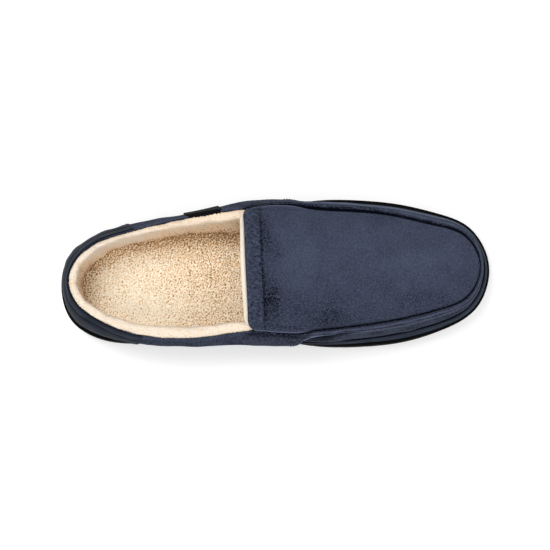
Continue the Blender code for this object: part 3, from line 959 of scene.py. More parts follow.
@dataclass(frozen=True)
class Specks:
    """Seeded field of scattered specks of uneven strength, read at places in millimetres."""

    seed: int
    pitch: float
    reach: float = 0.55
    cells: int = 96

    def at(self, u: Array, v: Array) -> Array:
        """Reads the field.

        Args:
            u: First coordinates.
            v: Second coordinates.

        Returns:
            0 between the specks, and up to 1 in the middle of a strong one.
        """
        seeded = np.random.default_rng(self.seed)
        shift = seeded.uniform(0.04, 0.96, (self.cells, self.cells, 2))
        strength = seeded.uniform(0.15, 1.0, (self.cells, self.cells))
        a, b = np.asarray(u, float) / self.pitch, np.asarray(v, float) / self.pitch
        i, j = np.floor(a).astype(int), np.floor(b).astype(int)
        best = np.zeros(a.shape)
        for di in (-1, 0, 1):
            for dj in (-1, 0, 1):
                cell = (i + di) % self.cells, (j + dj) % self.cells
                spot = shift[cell]
                far = np.hypot(i + di + spot[..., 0] - a, j + dj + spot[..., 1] - b)
                best = np.maximum(best, strength[cell] * np.clip(1 - far / self.reach, 0, 1))
        return best


class MeshMaker:
    """Gathers points in millimetres and faces, and makes one mesh of them in the frame's metres."""

    def __init__(self, last: Last) -> None:
        """Starts with nothing.

        Args:
            last: Shape that the mesh belongs to.
        """
        self.last = last
        self.points: list[Array] = []
        self.tones: list[Array] = []
        self.quads: list[Array] = []
        self.triangles: list[Array] = []
        self.count = 0

    def add(self, points: Array, tone: float | Array = 0.0) -> Array:
        """Adds points.

        Args:
            points: Points in any layout.
            tone: Their tones, in the same layout, or one for all.

        Returns:
            Their numbers in the same layout.
        """
        layout = points.shape[:-1]
        numbers = np.arange(self.count, self.count + int(np.prod(layout))).reshape(layout)
        self.points.append(points.reshape(-1, 3))
        self.tones.append(np.broadcast_to(tone, layout).ravel())
        self.count += numbers.size
        return numbers

    def skin(self, numbers: Array, close_rows: bool = False, close_columns: bool = False) -> None:
        """Adds the faces of a grid.

        Args:
            numbers: Rows of point numbers.
            close_rows: Whether the last row joins the first.
            close_columns: Whether each row closes on itself.
        """
        if close_rows:
            numbers = np.concatenate([numbers, numbers[:1]])
        if close_columns:
            numbers = np.concatenate([numbers, numbers[:, :1]], axis=1)
        corners = numbers[:-1, :-1], numbers[:-1, 1:], numbers[1:, 1:], numbers[1:, :-1]
        self.quads.append(np.stack(corners, axis=-1).reshape(-1, 4))

    def tube(self, rows: Array, tone: float | Array = 0.0) -> None:
        """Adds a closed band: rows round the foot that follow one another round its section."""
        self.skin(self.add(rows, tone), close_rows=True, close_columns=True)

    def slab(
        self,
        over: Array,
        under: Array,
        tone: float | Array = 0.0,
        under_tone: float | None = None,
    ) -> None:
        """Adds a closed plate.

        Args:
            over: Rows of points on its outside.
            under: The same rows on its inside.
            tone: Tones of the outside.
            under_tone: Tone of the inside, where it isn't that of the outside.
        """
        sheets = self.add(over, tone), self.add(under, tone if under_tone is None else under_tone)
        edges = []
        for sheet in sheets:
            self.skin(sheet)
            edges.append(np.concatenate([sheet[0], sheet[1:-1, -1], sheet[-1, ::-1], sheet[-2:0:-1, 0]]))
        self.skin(np.stack(edges), close_columns=True)

    def bar(self, rows: Array, tone: float | Array = 0.0) -> None:
        """Adds a bar with flat ends.

        Args:
            rows: Rows of points that follow one another round its section.
            tone: Their tones.
        """
        numbers = self.add(rows, tone)
        self.skin(numbers, close_rows=True)
        half = len(numbers) // 2
        for column in (numbers[:, 0], numbers[:, -1]):
            self.skin(np.stack([column[:half], column[:half - 1:-1][:half]]))

    def fill(
        self,
        loop: Array,
        points: Array,
        steps: int,
        height: Callable[[Array, Array], Array],
        tone: float = 0.0,
    ) -> None:
        """Closes a loop of columns with strips from side to side.

        Args:
            loop: Numbers of the loop's points, alike on both sides.
            points: The points themselves.
            steps: Faces in each strip.
            height: Gives the heights of points from the points and their shares across.
            tone: Tone of the new points.
        """
        half = len(loop) // 2
        share = np.linspace(0, 1, steps + 1)[1:-1]
        ends = points[:half:-1, None], points[1:half, None]
        inside = blend(*ends, share[:, None])
        inside[..., 2] = height(inside, 2 * share - 1)
        grid = np.column_stack([loop[:half:-1], self.add(inside, tone), loop[1:half]])
        self.skin(grid)
        for tip, row in ((loop[0], grid[0]), (loop[half], grid[-1])):
            self.triangles.append(np.column_stack([np.full(steps, tip), row[:-1], row[1:]]))

    def build(self, name: str, finish: Finish, sharp: float | None = None) -> bpy.types.Object:
        """Makes the object.

        Args:
            name: Name of the piece.
            finish: Its finish.
            sharp: Angle in degrees above which an edge shows, or none.

        Returns:
            The object, riding on the slipper's body.
        """
        mesh = bpy.data.meshes.new(name)
        points = (np.concatenate(self.points) - self.last.middle) * MM
        faces = [face for group in self.quads + self.triangles for face in group.tolist()]
        mesh.from_pydata(points.tolist(), [], faces)
        shape = bmesh.new()
        shape.from_mesh(mesh)
        bmesh.ops.recalc_face_normals(shape, faces=shape.faces)
        shape.to_mesh(mesh)
        shape.free()
        mesh.attributes.new(TONE, "FLOAT", "POINT").data.foreach_set("value", np.concatenate(self.tones))
        mesh.shade_smooth()
        if sharp:
            mesh.set_sharp_from_angle(angle=np.radians(sharp))
        mesh.materials.append(finish.material())
        piece = bpy.data.objects.new(name, mesh)
        bpy.context.scene.collection.objects.link(piece)
        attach(piece, "root")
        return piece


@dataclass(frozen=True)
class Stitching:
    """Row of single stitches laid on a surface."""

    pitch: float = 3.0
    length: float = 2.1
    radius: float = 0.28
    sides: int = 6
    sink: float = 0.1

    def lay(self, maker: MeshMaker, path: Array, normals: Array) -> None:
        """Lays stitches along a path.

        Args:
            maker: Mesh that takes them.
            path: Points of the path.
            normals: Normals of the surface there.
        """
        run = run_along(path)
        starts = np.arange(0.4, run[-1] - self.length, self.pitch)
        shares = np.linspace(0, 1, 5)
        places = starts[:, None] + shares * self.length
        spots = np.stack([np.interp(places, run, path[:, axis]) for axis in range(3)], axis=-1)
        over = np.stack([np.interp(places, run, normals[:, axis]) for axis in range(3)], axis=-1)
        ahead = np.gradient(spots, axis=1)
        ahead /= np.linalg.norm(ahead, axis=2)[..., None]
        aside = np.cross(ahead, over)
        plump = np.array([0.25, 0.8, 1.0, 0.8, 0.25]) * self.radius
        spots = spots + over * (plump - self.radius * 0.5 - self.sink)[:, None]
        turn = np.linspace(0, 2 * np.pi, self.sides, endpoint=False)
        round_it = aside[..., None, :] * np.cos(turn)[:, None] + over[..., None, :] * np.sin(turn)[:, None]
        rings = spots[..., None, :] + round_it * plump[:, None, None]
        for stitch in rings:
            numbers = maker.add(stitch)
            maker.skin(numbers, close_columns=True)
            for cap in (numbers[0], numbers[-1]):
                maker.skin(np.stack([cap[:3], cap[:2:-1]]))


class Mark(NamedTuple):
    """Soft patch in plan that changes a tone or a height: place, reach along and across, and change."""

    x: float
    y: float
    along: float
    aside: float
    change: float

    def at(self, x: Array, y: Array) -> Array:
        """The change at places in plan."""
        return self.change * bell(x, self.x, self.along) * bell(y, self.y, self.aside)


class Fold(NamedTuple):
    """Soft trough, or ridge, in the wall: side, place along, row, reach, slant and depth."""

    side: Side
    x: float
    row: float
    along: float
    rows: float
    slant: float
    depth: float


@dataclass
class Assembly(ABC):
    """A sub-assembly of the slipper, built round its last."""

    last: Last

    @abstractmethod
    def build(self) -> Pieces:
        """Makes the pieces."""


@dataclass
class UpperWall(Assembly):
    """Velour quarters and toe wall with the raised seam round the apron."""

    thickness: float = 1.2
    step: float = 0.85
    row_step: float = 0.07
    ridge: Pairs = (
        (0, 0), (0.1, 1.9), (0.3, 3.4), (0.55, 2.9), (0.82, 0.8), (1, -1.2),
    )
    ridge_steps: int = 32
    ridge_groove: float = 0.7
    ridge_groove_at: float = 0.17
    ridge_from: float = 158.0
    ridge_full: float = 174.0
    pucker: float = 0.28
    pucker_pitch: float = 2.9
    quarter_rows: tuple[float, ...] = (2.0, 3.0, 3.2, 3.57, 3.72, 3.82, 3.93, 4.0)
    quarter_places: tuple[float, ...] = (146.0, 158.0, 160.2, 163.3, 166.3, 168.6, 173.4, 184.5)
    quarter_steps: tuple[float, float] = (2.6, 0.8)
    quarter_reach: float = 24.0
    row_breadth: float = 8.0
    lap_sink: float = 1.7
    counter_sink: float = 0.6
    dent: float = 0.16
    sunk: tuple[float, float, float, float] = (132.0, 146.0, 196.0, 216.0)
    counter_end: tuple[float, float] = (40.0, 46.0)
    lap_begins: tuple[float, float] = (122.0, 128.0)
    seam_begins: tuple[float, float] = (158.0, 172.0)
    tip_begins: tuple[float, float] = (266.0, 284.0)
    hidden_rows: tuple[float, ...] = (3.65, 3.4, 3.0, 2.4, 1.6, 0.8, 0.0)
    rim_rise: float = 0.5
    tucks: tuple[tuple[float, float, float, float], ...] = ((1.2, 2.4, 0.15, 1.0), (1.55, 3.6, 0.25, 2.6))
    folds: tuple[Fold, ...] = (
        Fold(Side.INNER, 140.0, 3.5, 9.0, 0.35, 9.0, 0.35),
        Fold(Side.INNER, 128.0, 2.6, 8.0, 0.40, -7.0, 0.4),
        Fold(Side.INNER, 104.0, 2.7, 12.0, 0.35, 12.0, 0.4),
        Fold(Side.INNER, 66.0, 2.7, 9.0, 0.40, -10.0, 0.4),
        Fold(Side.OUTER, 142.0, 3.5, 9.0, 0.35, 8.0, 0.35),
        Fold(Side.OUTER, 126.0, 2.6, 9.0, 0.40, -9.0, 0.4),
        Fold(Side.OUTER, 78.0, 2.7, 10.0, 0.40, 11.0, 0.4),
        Fold(Side.INNER, 205.0, 2.7, 12.0, 0.30, 16.0, 0.35),
        Fold(Side.OUTER, 214.0, 2.7, 12.0, 0.30, -14.0, 0.35),
        Fold(Side.INNER, 246.0, 2.6, 9.0, 0.30, 10.0, 0.3),
        Fold(Side.OUTER, 250.0, 2.6, 9.0, 0.30, -10.0, 0.3),
    )

    def build(self) -> Pieces:
        """Makes the wall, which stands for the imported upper.

        Returns:
            The wall.
        """
        last = self.last
        at = last.loop(self.step)
        shown = np.arange(1.7, 3.4, self.row_step)
        rows = np.concatenate([np.linspace(0, 1.6, 5), shown, np.linspace(3.4, 4.0, 19)])
        outside = last.wall(at, rows)
        relief, tone = self.relief(outside, rows)
        outside += last.outward(grid_normals(outside, closed=True), outside) * relief[..., None]
        rim, rim_tone = self.rim(at, outside[-1])
        hidden = self.inside(at, outside[-1])
        maker = MeshMaker(last)
        tones = np.concatenate([tone, rim_tone, np.zeros(hidden.shape[:-1])])
        maker.tube(np.concatenate([outside, rim, hidden]), tones)
        piece = maker.build("upper_wall", VELOUR)
        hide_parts("upper")
        return [piece]

    def quarter_edge(self, rows: Array) -> Array:
        """Places of the quarters' front edge at the rows of the wall."""
        return np.interp(rows, self.quarter_rows, self.quarter_places)

    def past_edge(self, x: Array, row: Array) -> Array:
        """Distances ahead of the quarters' front edge, about as seen from above.

        Args:
            x: Places along the foot.
            row: Rows of the wall.

        Returns:
            The distances, negative on the quarters.
        """
        knots = np.column_stack([self.quarter_places, np.array(self.quarter_rows) * self.row_breadth])
        spots = np.stack([x, row * self.row_breadth], axis=-1)
        nearest = np.full(x.shape, 1e9)
        for start, end in zip(knots[:-1], knots[1:]):
            along = end - start
            share = np.clip((spots - start) @ along / (along @ along), 0, 1)
            nearest = np.minimum(nearest, np.linalg.norm(spots - start - share[..., None] * along, axis=-1))
        return np.where(x > self.quarter_edge(row), nearest, -nearest)

    def relief(self, points: Array, rows: Array) -> tuple[Array, Array]:
        """Relief of the wall.

        Args:
            points: Rows of points of the wall.
            rows: The rows' numbers.

        Returns:
            Distances outwards, and tones, which paint shade and highlights on the wall.
        """
        x, y = points[..., 0], points[..., 1]
        row = np.broadcast_to(rows[:, None], x.shape)
        shown = ease(1.9, 2.5, row)
        ahead = x - self.quarter_edge(row)
        past = self.past_edge(x, row)
        recess = ease(-0.35, 0.35, past) * (1 - ease(3.0, self.quarter_reach, ahead))
        step = np.where(y < 0, *self.quarter_steps)
        dents = Curls(11, 24.0, 0.5).at(x + 0.6 * y, points[..., 2] * 1.4 + 0.3 * y)
        settle = shown * (1 - ease(3.6, 4.0, row))
        under_counter = (1 - ease(*self.counter_end, x)) * shown * (1 - ease(3.8, 3.95, row))
        relief = -step * recess * shown * (1 - 0.7 * ease(3.7, 4.0, row))
        relief = relief + self.dent * dents * settle - self.counter_sink * under_counter
        for fold in self.folds:
            lean = x - fold.x - (row - fold.row) * fold.slant
            trough = bell(lean, 0, fold.along * 0.5) * bell(row, fold.row, fold.rows)
            relief = relief - fold.depth * trough * settle * (np.sign(y) == fold.side.value)
        outer = ease(-6, 6, y)
        front = ease(*self.seam_begins, x)
        tip = ease(*self.tip_begins, x)
        reach = 5.0 + 19.0 * ease(2.8, 3.3, row)
        # Painted shadow in the recess ahead of the quarters' front edge, and a painted highlight along the
        # edge itself.
        dark = ease(-0.25, 0.2, past) * (1 - ease(0.35, 1.0, ahead / reach))
        tone = (3.2 * bell(past, -0.6, 0.45) - 2.3 * dark) * shown * (1 - 0.6 * outer)
        # Painted shade along the foot of the wall and down its sides, and in its dents.
        tone = tone - 0.8 * (1 - ease(2.0, 2.25, row)) * (1 - 0.7 * tip)
        tone = tone - 0.6 * (1 - front * ease(3.75, 3.95, row)) * (1 + 0.2 * tip)
        tone = tone - 0.2 * ease(0.2, 1.2, -dents) * settle
        # Painted highlights along the top rows ahead of the quarters, strong on the outer side, and along
        # the collar edge at the back.
        tone = tone + (0.6 + 1.5 * outer) * bell(row, 4.0 - 0.4 * outer, 0.07 + 0.2 * outer) * front
        tone = tone + 0.4 * bell(row, 3.9, 0.1) * (1 - ease(115, 130, x))
        # Painted shadow under the lapped edge of the apron.
        lap = ease(*self.lap_begins, x) * (1 - front)
        tone = tone - (0.4 * bell(row, 3.92, 0.035) + 0.7 * ease(3.75, 3.9, row)) * lap
        tone = tone + 0.1 * dents * settle
        return relief, tone

    def rim(self, at: Array, top: Array) -> tuple[Array, Array]:
        """Rounded collar edge behind the throat, and ahead of it the raised seam.

        Args:
            at: Loop parameters.
            top: Top ring of the wall.

        Returns:
            Rows from the wall's top inwards, and their tones, which paint shade and highlights on the seam
            and the collar edge.
        """
        last = self.last
        seam = last.ring("seam", at, "seam")
        brim = last.along(last.collar_edges, at)
        ahead = last.ahead_of_throat(top[:, 0])
        gain = ease(self.ridge_from, self.ridge_full, top[:, 0])[:, None]
        knots, rises = np.array(self.ridge, float).T
        run = run_along(seam[:, :2])
        wave = np.sin(run * 2 * np.pi / self.pucker_pitch)[:, None]
        lateral = ease(-8, 8, top[:, 1])
        tip = ease(262, 280, top[:, 0])
        hollow_shade = 1.0 - 0.9 * ease(205, 240, top[:, 0])
        rows, tones = [], []
        for share in np.linspace(0, 1, self.ridge_steps + 1)[1:]:
            groove = bell(share, self.ridge_groove_at, 0.08)
            rise = float(spline(knots, rises, [share])[0]) - self.ridge_groove * groove
            flank = float(ease(0.4, 0.7, share))
            crevice = self.lap_sink * bell(share, 0.9, 0.4)
            seamed = blend(top, seam, share) + UP * (rise + self.pucker * wave * flank) * gain
            seamed = seamed - UP * crevice * (1 - gain)
            collar = grown(top, -brim * share) + UP * self.rim_rise * np.sin(0.9 * np.pi * share)
            rows.append(blend(collar, seamed, ahead))
            # Painted highlights on the ridge's crests; painted shade in its groove, on the outer side's
            # inner flank and in the sunk seam.
            crest_highlights = 0.7 * bell(share, 0.0, 0.08) * (1 - lateral) + 0.5 * bell(share, 0.42, 0.16)
            shade = 1.7 * ease(0.68, 0.9, share) + hollow_shade * ease(0.0, 0.3, share)
            shade = shade * lateral + 1.4 * ease(0.86, 1.0, share) * (1 - lateral)
            shade = shade + 1.4 * tip * ease(0.78, 0.95, share)
            streaks = Curls(83, 1.5, 0.5).at(run * 0.1, share * 4.2 + 0 * run)
            crest = crest_highlights - (1.2 + 1.2 * tip) * groove - shade + 0.25 * streaks
            # Painted shade on the rows under the lapped apron and along the collar's inner edge.
            lap = -0.9 - 1.8 * ease(0.2, 0.6, share)
            edge = -0.9 * float(ease(0.6, 1.0, share))
            tones.append(blend(edge, blend(lap, crest, gain[:, 0]), ahead[:, 0]))
        for share, sink, inwards, below in self.tucks:
            collar = grown(top, -brim - inwards) - UP * below
            seamed = blend(top, seam, share) - UP * sink
            rows.append(blend(collar, seamed, ahead))
            # The tucked rows are painted dark as shade.
            tones.append(np.full(len(at), -1.1))
        return np.array(rows), np.array(tones)

    def inside(self, at: Array, top: Array) -> Array:
        """Hidden face of the wall.

        Args:
            at: Loop parameters.
            top: Top ring of the wall's outside.

        Returns:
            Rows under the raised seam, and then down the inside.
        """
        last = self.last
        start, full, fade, end = self.sunk
        sunk = ease(start, full, top[:, 0]) * (1 - ease(fade, end, top[:, 0])) * (top[:, 1] < 0)
        inset = -self.thickness - 0.5 - self.quarter_steps[0] * sunk
        ahead = last.ahead_of_throat(top[:, 0])
        seam = last.ring("seam", at, "seam")
        rows = []
        for share in (1.5, 0.8, 0.3):
            seamed = blend(top, seam, share) - UP * (2.6 + share)
            collar = grown(top, -last.along(last.collar_edges, at)) - UP * (4.0 - 0.5 * share)
            rows.append(blend(collar, seamed, ahead))
        rows += [grown(points, inset) for points in last.wall(at, self.hidden_rows)]
        return np.array(rows)


@dataclass
class Apron(Assembly):
    """Crowned velour apron over the instep, lapped at the throat and sunk into the seam round the toe."""

    thickness: float = 1.5
    step: float = 1.25
    steps_across: int = 120
    start: float = 0.6
    short: float = 0.5
    seam_at: float = 10.9
    seam_depth: float = 0.6
    lap_to: float = 165.0
    edge_drop: float = 0.9
    edge_width: float = 0.9
    lap_drop: float = 0.5
    lap_width: float = 0.6
    lap_rise: float = 0.9
    lap_out: float = 0.9
    lap_deep: float = 2.6
    lap_reach: float = 6.0
    half: float = 40.0
    stitches: Stitching = Stitching()
    stitch_rows: tuple[float, ...] = (2.0, 4.0)
    marks: tuple[Mark, ...] = (
        Mark(146, 14, 6, 12, -0.3),
        Mark(144, -20, 8, 11, -0.85),
        Mark(139, 0, 3.5, 45, -0.3),
        Mark(141, 27, 5, 12, -0.5),
        Mark(178, -32, 16, 7, -0.5),
        Mark(241, -22, 13, 5, -0.3),
        Mark(213, 33, 12, 4, -0.2),
        Mark(163, 4, 9, 18, 0.22),
        Mark(245, 0, 18, 11, 0.22),
        Mark(200, 8, 28, 16, 0.1),
        Mark(172, -18, 16, 7, -0.15),
    )
    folds: tuple[Mark, ...] = (
        Mark(150, 0, 5, 22, -0.5),
        Mark(163, -8, 5, 18, 0.3),
        Mark(178, 10, 7, 16, -0.35),
        Mark(206, -14, 8, 14, -0.3),
        Mark(232, 8, 8, 16, -0.3),
    )

    def rows_at(self) -> Array:
        """Rows of the apron, closer together at the seam of the binding.

        Returns:
            Their loop parameters.
        """
        near = np.concatenate([np.linspace(self.start, 9.2, 6), np.arange(9.4, 13.0, 0.3)])
        start = self.last.apron_at(near)
        end = self.last.toe_at - self.short
        return np.concatenate([start, np.linspace(start[-1], end, round((end - start[-1]) / self.step))[1:]])

    def seamed(self, x: Array) -> Array:
        """Shares that ease from the lapped sides to the seam ahead of them."""
        return ease(self.lap_to - 7, self.lap_to + 9, x)

    def surface(self, at: Array, across: Array) -> tuple[Array, Array]:
        """Outside of the apron.

        Args:
            at: Loop parameters of the rows.
            across: Shares across the foot.

        Returns:
            Rows of points, and their tones, which paint shade and highlights along the apron's edges and
            seams.
        """
        last = self.last
        points = last.apron(at, across)
        normals = upward(grid_normals(points))
        x, y = points[..., 0], points[..., 1]
        breadth = np.linalg.norm(points[:, -1, :2] - points[:, 0, :2], axis=1)[:, None] / 2
        edge = (1 - np.abs(across))[None, :] * breadth
        ahead = (last.ring("seam", at, "seam")[:, 0] - last.throat_x)[:, None]
        front = self.seamed(x)
        points[..., 1] += np.sign(across) * self.lap_out * (1 - front) * bell(edge, 0, 5.0) * (y < 0)
        relief = -self.edge_drop * bell(edge, 0, self.edge_width) * front
        lapped = (1 - front) * bell(edge, 0, self.lap_reach)
        relief = relief + (self.lap_rise - self.lap_drop * bell(edge, 0, self.lap_width)) * lapped
        relief = relief - self.seam_depth * bell(ahead, self.seam_at, 0.75)
        relief = relief + sum(fold.at(x, y) for fold in self.folds)
        dents = Curls(23, 21.0, 0.55).at(x, y)
        relief = relief + 0.1 * dents * ease(0, 10, edge)
        # Painted shade: darker towards the inner side, and slightly in the dents.
        tone = 0.05 * dents - 0.005 * np.clip(-y, -10, 40)
        tone = tone + sum(mark.at(x, y) for mark in self.marks)
        patchy = 0.6 + 0.4 * np.tanh(Curls(29, 7.0, 0.5).at(x * 0.3, y))
        # Painted shade in the sunk seam behind the throat band, partly the seam's own dark line, and along
        # the sunk seam round the toe.
        tone = tone - 0.75 * bell(ahead, self.seam_at, 1.1) * patchy - 1.4 * bell(edge, 0, 0.6) * front
        # Painted highlights along the outer edge ahead of the laps and on the lapped edges, with faint
        # painted shade inside the lapped edge.
        tone = tone + 0.3 * bell(edge, 1.4, 0.7) * front * ease(0, 10, y)
        tone = tone + (1.8 * bell(edge, 0.4, 0.5) - 0.35 * bell(edge, 3.0, 0.6)) * (1 - front)
        return points + normals * relief[..., None], tone

    def build(self) -> Pieces:
        """Makes the apron and the stitches along its lapped sides.

        Returns:
            The apron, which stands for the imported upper, and the stitches.
        """
        last = self.last
        at, across = self.rows_at(), edge_to_edge(self.steps_across)
        over, tone = self.surface(at, across)
        normals = upward(grid_normals(over))
        lapped = 1 - self.seamed(over[..., 0])
        deep = self.lap_deep * lapped * bell((1 - np.abs(across)) * self.half, 0, 2.0)
        maker = MeshMaker(last)
        # The apron's underside is painted dark as shade.
        maker.slab(over, over - normals * self.thickness - UP * deep[..., None], tone, -1.6)
        piece = maker.build("apron", VELOUR)
        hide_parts("upper")
        rows = at[last.ring("seam", at, "seam")[:, 0] < self.lap_to + 4]
        sewn = MeshMaker(last)
        for inwards in self.stitch_rows:
            for side in Side:
                share = side.value * (1 - inwards / self.half)
                lines = np.array([share - 0.01, share, share + 0.01])
                strip, _ = self.surface(rows[12:], lines)
                self.stitches.lay(sewn, strip[:, 1], upward(grid_normals(strip))[:, 1])
        return [piece, sewn.build("apron_stitches", NAVY_THREAD)]


@dataclass
class ThroatBand(Assembly):
    """Folded velour band along the throat edge of the apron, with its sewn seam."""

    profile: Pairs = (
        (10.4, 0.25), (10.1, 0.75), (9.7, 1.0), (9.0, 1.1), (8.0, 1.15), (6.5, 1.18),
        (5.0, 1.18), (3.5, 1.16), (2.2, 1.15), (1.2, 1.13), (0.5, 1.1), (0.0, 1.05),
    )
    under: float = 0.15
    turn: float = 1.1
    drop: float = 1.6
    steps_across: int = 110
    reach: float = 0.985
    stitches: Stitching = Stitching(2.9, 1.5, 0.26)
    stitch_lines: tuple[float, ...] = (10.6, 10.9, 11.2)
    stitch_reach: float = 0.93
    stitch_sink: float = 0.55

    def build(self) -> Pieces:
        """Makes the band and the stitches of its seam.

        Returns:
            The band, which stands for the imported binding, and the stitches.
        """
        last = self.last
        across = edge_to_edge(self.steps_across) * self.reach
        ahead, heights = np.array(self.profile).T
        base = last.apron(last.apron_at(ahead), across)
        normals = upward(grid_normals(base))
        side = ease(0, 0.02, self.reach - np.abs(across))
        rise = heights[:, None] * (0.35 + 0.65 * side)
        x, y = base[..., 0], base[..., 1]
        dents = Curls(5, 9.0, 0.5).at(x, y)
        top = base + normals * (rise + 0.08 * dents)[..., None]
        back = base[-1] - base[-2]
        back /= np.linalg.norm(back, axis=1)[:, None]
        fold = []
        for angle in np.radians((25, 50, 75, 100)):
            fold.append(base[-1] + (normals[-1] * np.cos(angle) + back * np.sin(angle)) * self.turn)
        fold.append(base[-1] + back * self.turn * 0.8 - normals[-1] * self.drop)
        fold.append(base[-1] - back * 0.35 - normals[-1] * self.drop)
        fold.append(base[-1] - back * 0.4 + normals[-1] * self.under)
        lower = base[::-1][2:] + normals[::-1][2:] * self.under
        section = np.concatenate([top, np.array(fold), lower])
        if len(section) % 2:
            section = np.concatenate([section, (section[-1:] + section[:1]) / 2])
        row = np.arange(len(section))[:, None]
        # Painted shade beside the sewn seam and under the fold, and a painted highlight on the fold's
        # rounded top.
        tone = -0.3 - 0.6 * bell(row, 0, 2.0) + 0.25 * bell(row, 10, 1.2) - 0.8 * ease(13, 15, row)
        tone = tone + 0.35 * Curls(19, 3.2, 0.6).at(y[:1] + 0 * row, 0.9 * row + 0 * y[:1])
        maker = MeshMaker(last)
        maker.bar(section, tone)
        piece = maker.build("throat_band", VELOUR)
        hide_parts("throat_binding")
        sewn = MeshMaker(last)
        across = np.linspace(-self.stitch_reach, self.stitch_reach, 200)
        lines = last.apron(last.apron_at(self.stitch_lines), across)
        self.stitches.lay(sewn, lines[1] - UP * self.stitch_sink, upward(grid_normals(lines))[1])
        return [piece, sewn.build("throat_stitches", NAVY_THREAD)]


@dataclass
class CollarLining(Assembly):
    """Padded fleece lining: a roll round the collar that slopes down to the footbed."""

    step: float = 0.75
    front_step: float = 3.0
    rows: int = 56
    rolls: Triples = (
        (0.00, 5.9, 5.9),
        (0.07, 6.4, 5.2),
        (0.14, 7.6, 4.9),
        (0.22, 8.4, 5.6),
        (0.32, 8.2, 7.4),
        (0.41, 7.4, 8.0),
        (0.55, 6.8, 7.0),
        (1.00, 6.0, 6.0),
    )
    feet: Triples = (
        (0.00, 6.2, 6.2),
        (0.07, 6.7, 5.6),
        (0.14, 7.8, 5.1),
        (0.22, 9.4, 6.0),
        (0.32, 10.6, 8.8),
        (0.41, 9.6, 11.4),
        (0.55, 7.4, 8.5),
        (1.00, 6.5, 6.5),
    )
    roll_rise: float = 1.3
    bed_drop: float = 2.5
    front_drop: float = 6.0
    front_inset: float = 1.6
    girth: float = 36.0
    back: float = 4.0
    pile: float = 0.28
    pile_wave: float = 1.8
    fill: float = 0.6

    def build(self) -> Pieces:
        """Makes the lining.

        Returns:
            The lining.
        """
        last = self.last
        at = last.loop(self.step, self.front_step)
        top = last.ring("top", at, "top")
        roll, foot = last.along(self.rolls, at), last.along(self.feet, at)
        bed = last.level("welt", at) - self.bed_drop
        ahead = ease(last.throat_x - 1, last.throat_x + 10, top[:, 0])
        rim = top[:, 2] - self.front_drop * ahead
        deep = rim - bed
        slope = foot - roll
        brim = last.along(last.collar_edges, at)
        profile = (
            (brim + 0.4, rim - 4.0),
            (brim + 0.45, rim - 1.4),
            (brim + 0.9, rim + 0.3),
            (0.5 * roll + 0.4, rim + self.roll_rise),
            (0.8 * roll + 0.2, rim + 0.75 * self.roll_rise),
            (roll - 0.2, rim - 0.7),
            (roll + 0.15 * slope, rim - 0.2 * deep),
            (roll + 0.5 * slope, rim - 0.5 * deep),
            (foot, bed + 1.5),
            (foot + 0.5, bed - 1.8),
        )
        inset = self.front_inset * ahead
        controls = [at_height(grown(top, -inwards - inset), z) for inwards, z in profile]
        face = smoothed(controls, self.rows)
        inward = -last.outward(grid_normals(face, closed=True), face)
        run = run_along(top[:, :2])
        down = np.linspace(0, self.girth, self.rows)[:, None]
        below = (rim - face[..., 2]) / deep
        shown = ease(3.0, 7.0, down)
        curls = Curls(31, self.pile_wave).at(run[None, :], down)
        dents = Curls(37, 17.0, 0.5).at(run[None, :], down)
        x, y = face[..., 0], face[..., 1]
        outer = ease(55, 80, x) * ease(0, 12, y)
        seam = bell(x, 9, 9) * bell(y, -1.0, 0.5)
        relief = (self.pile * curls + 0.25 * dents - 0.6 * seam) * shown
        face = face + inward * relief[..., None]
        specks = Specks(39, 2.0).at(run[None, :] + 0 * down, down + 0 * run[None, :])
        # Painted shade: the lining is darker low down by the footbed, on the outer side and at the heel
        # below the roll, with stronger pile contrast in the shade.
        shaded = ease(0.05, 0.25, below) * np.maximum(outer, bell(x, 12, 14))
        tone = 1.0 + (0.18 + 0.16 * shaded) * curls - (0.65 + 0.3 * shaded) * specks - 0.5 * seam
        tone = tone - 0.3 * ease(0.8, 0.97, below) - 0.1 * outer - 0.12 * shaded
        tone = tone - 0.3 * ease(-0.02, 0.2, below) * bell(x, 11, 11)
        back = [grown(points, -self.back) for points in last.wall(at, [2.1, 3.0])]
        maker = MeshMaker(last)
        hidden = np.full((2, len(at)), 0.6)
        maker.tube(np.concatenate([face, np.array(back)]), np.concatenate([tone, hidden]))
        piece = maker.build("collar_lining", LINING_FLEECE)
        return [piece]


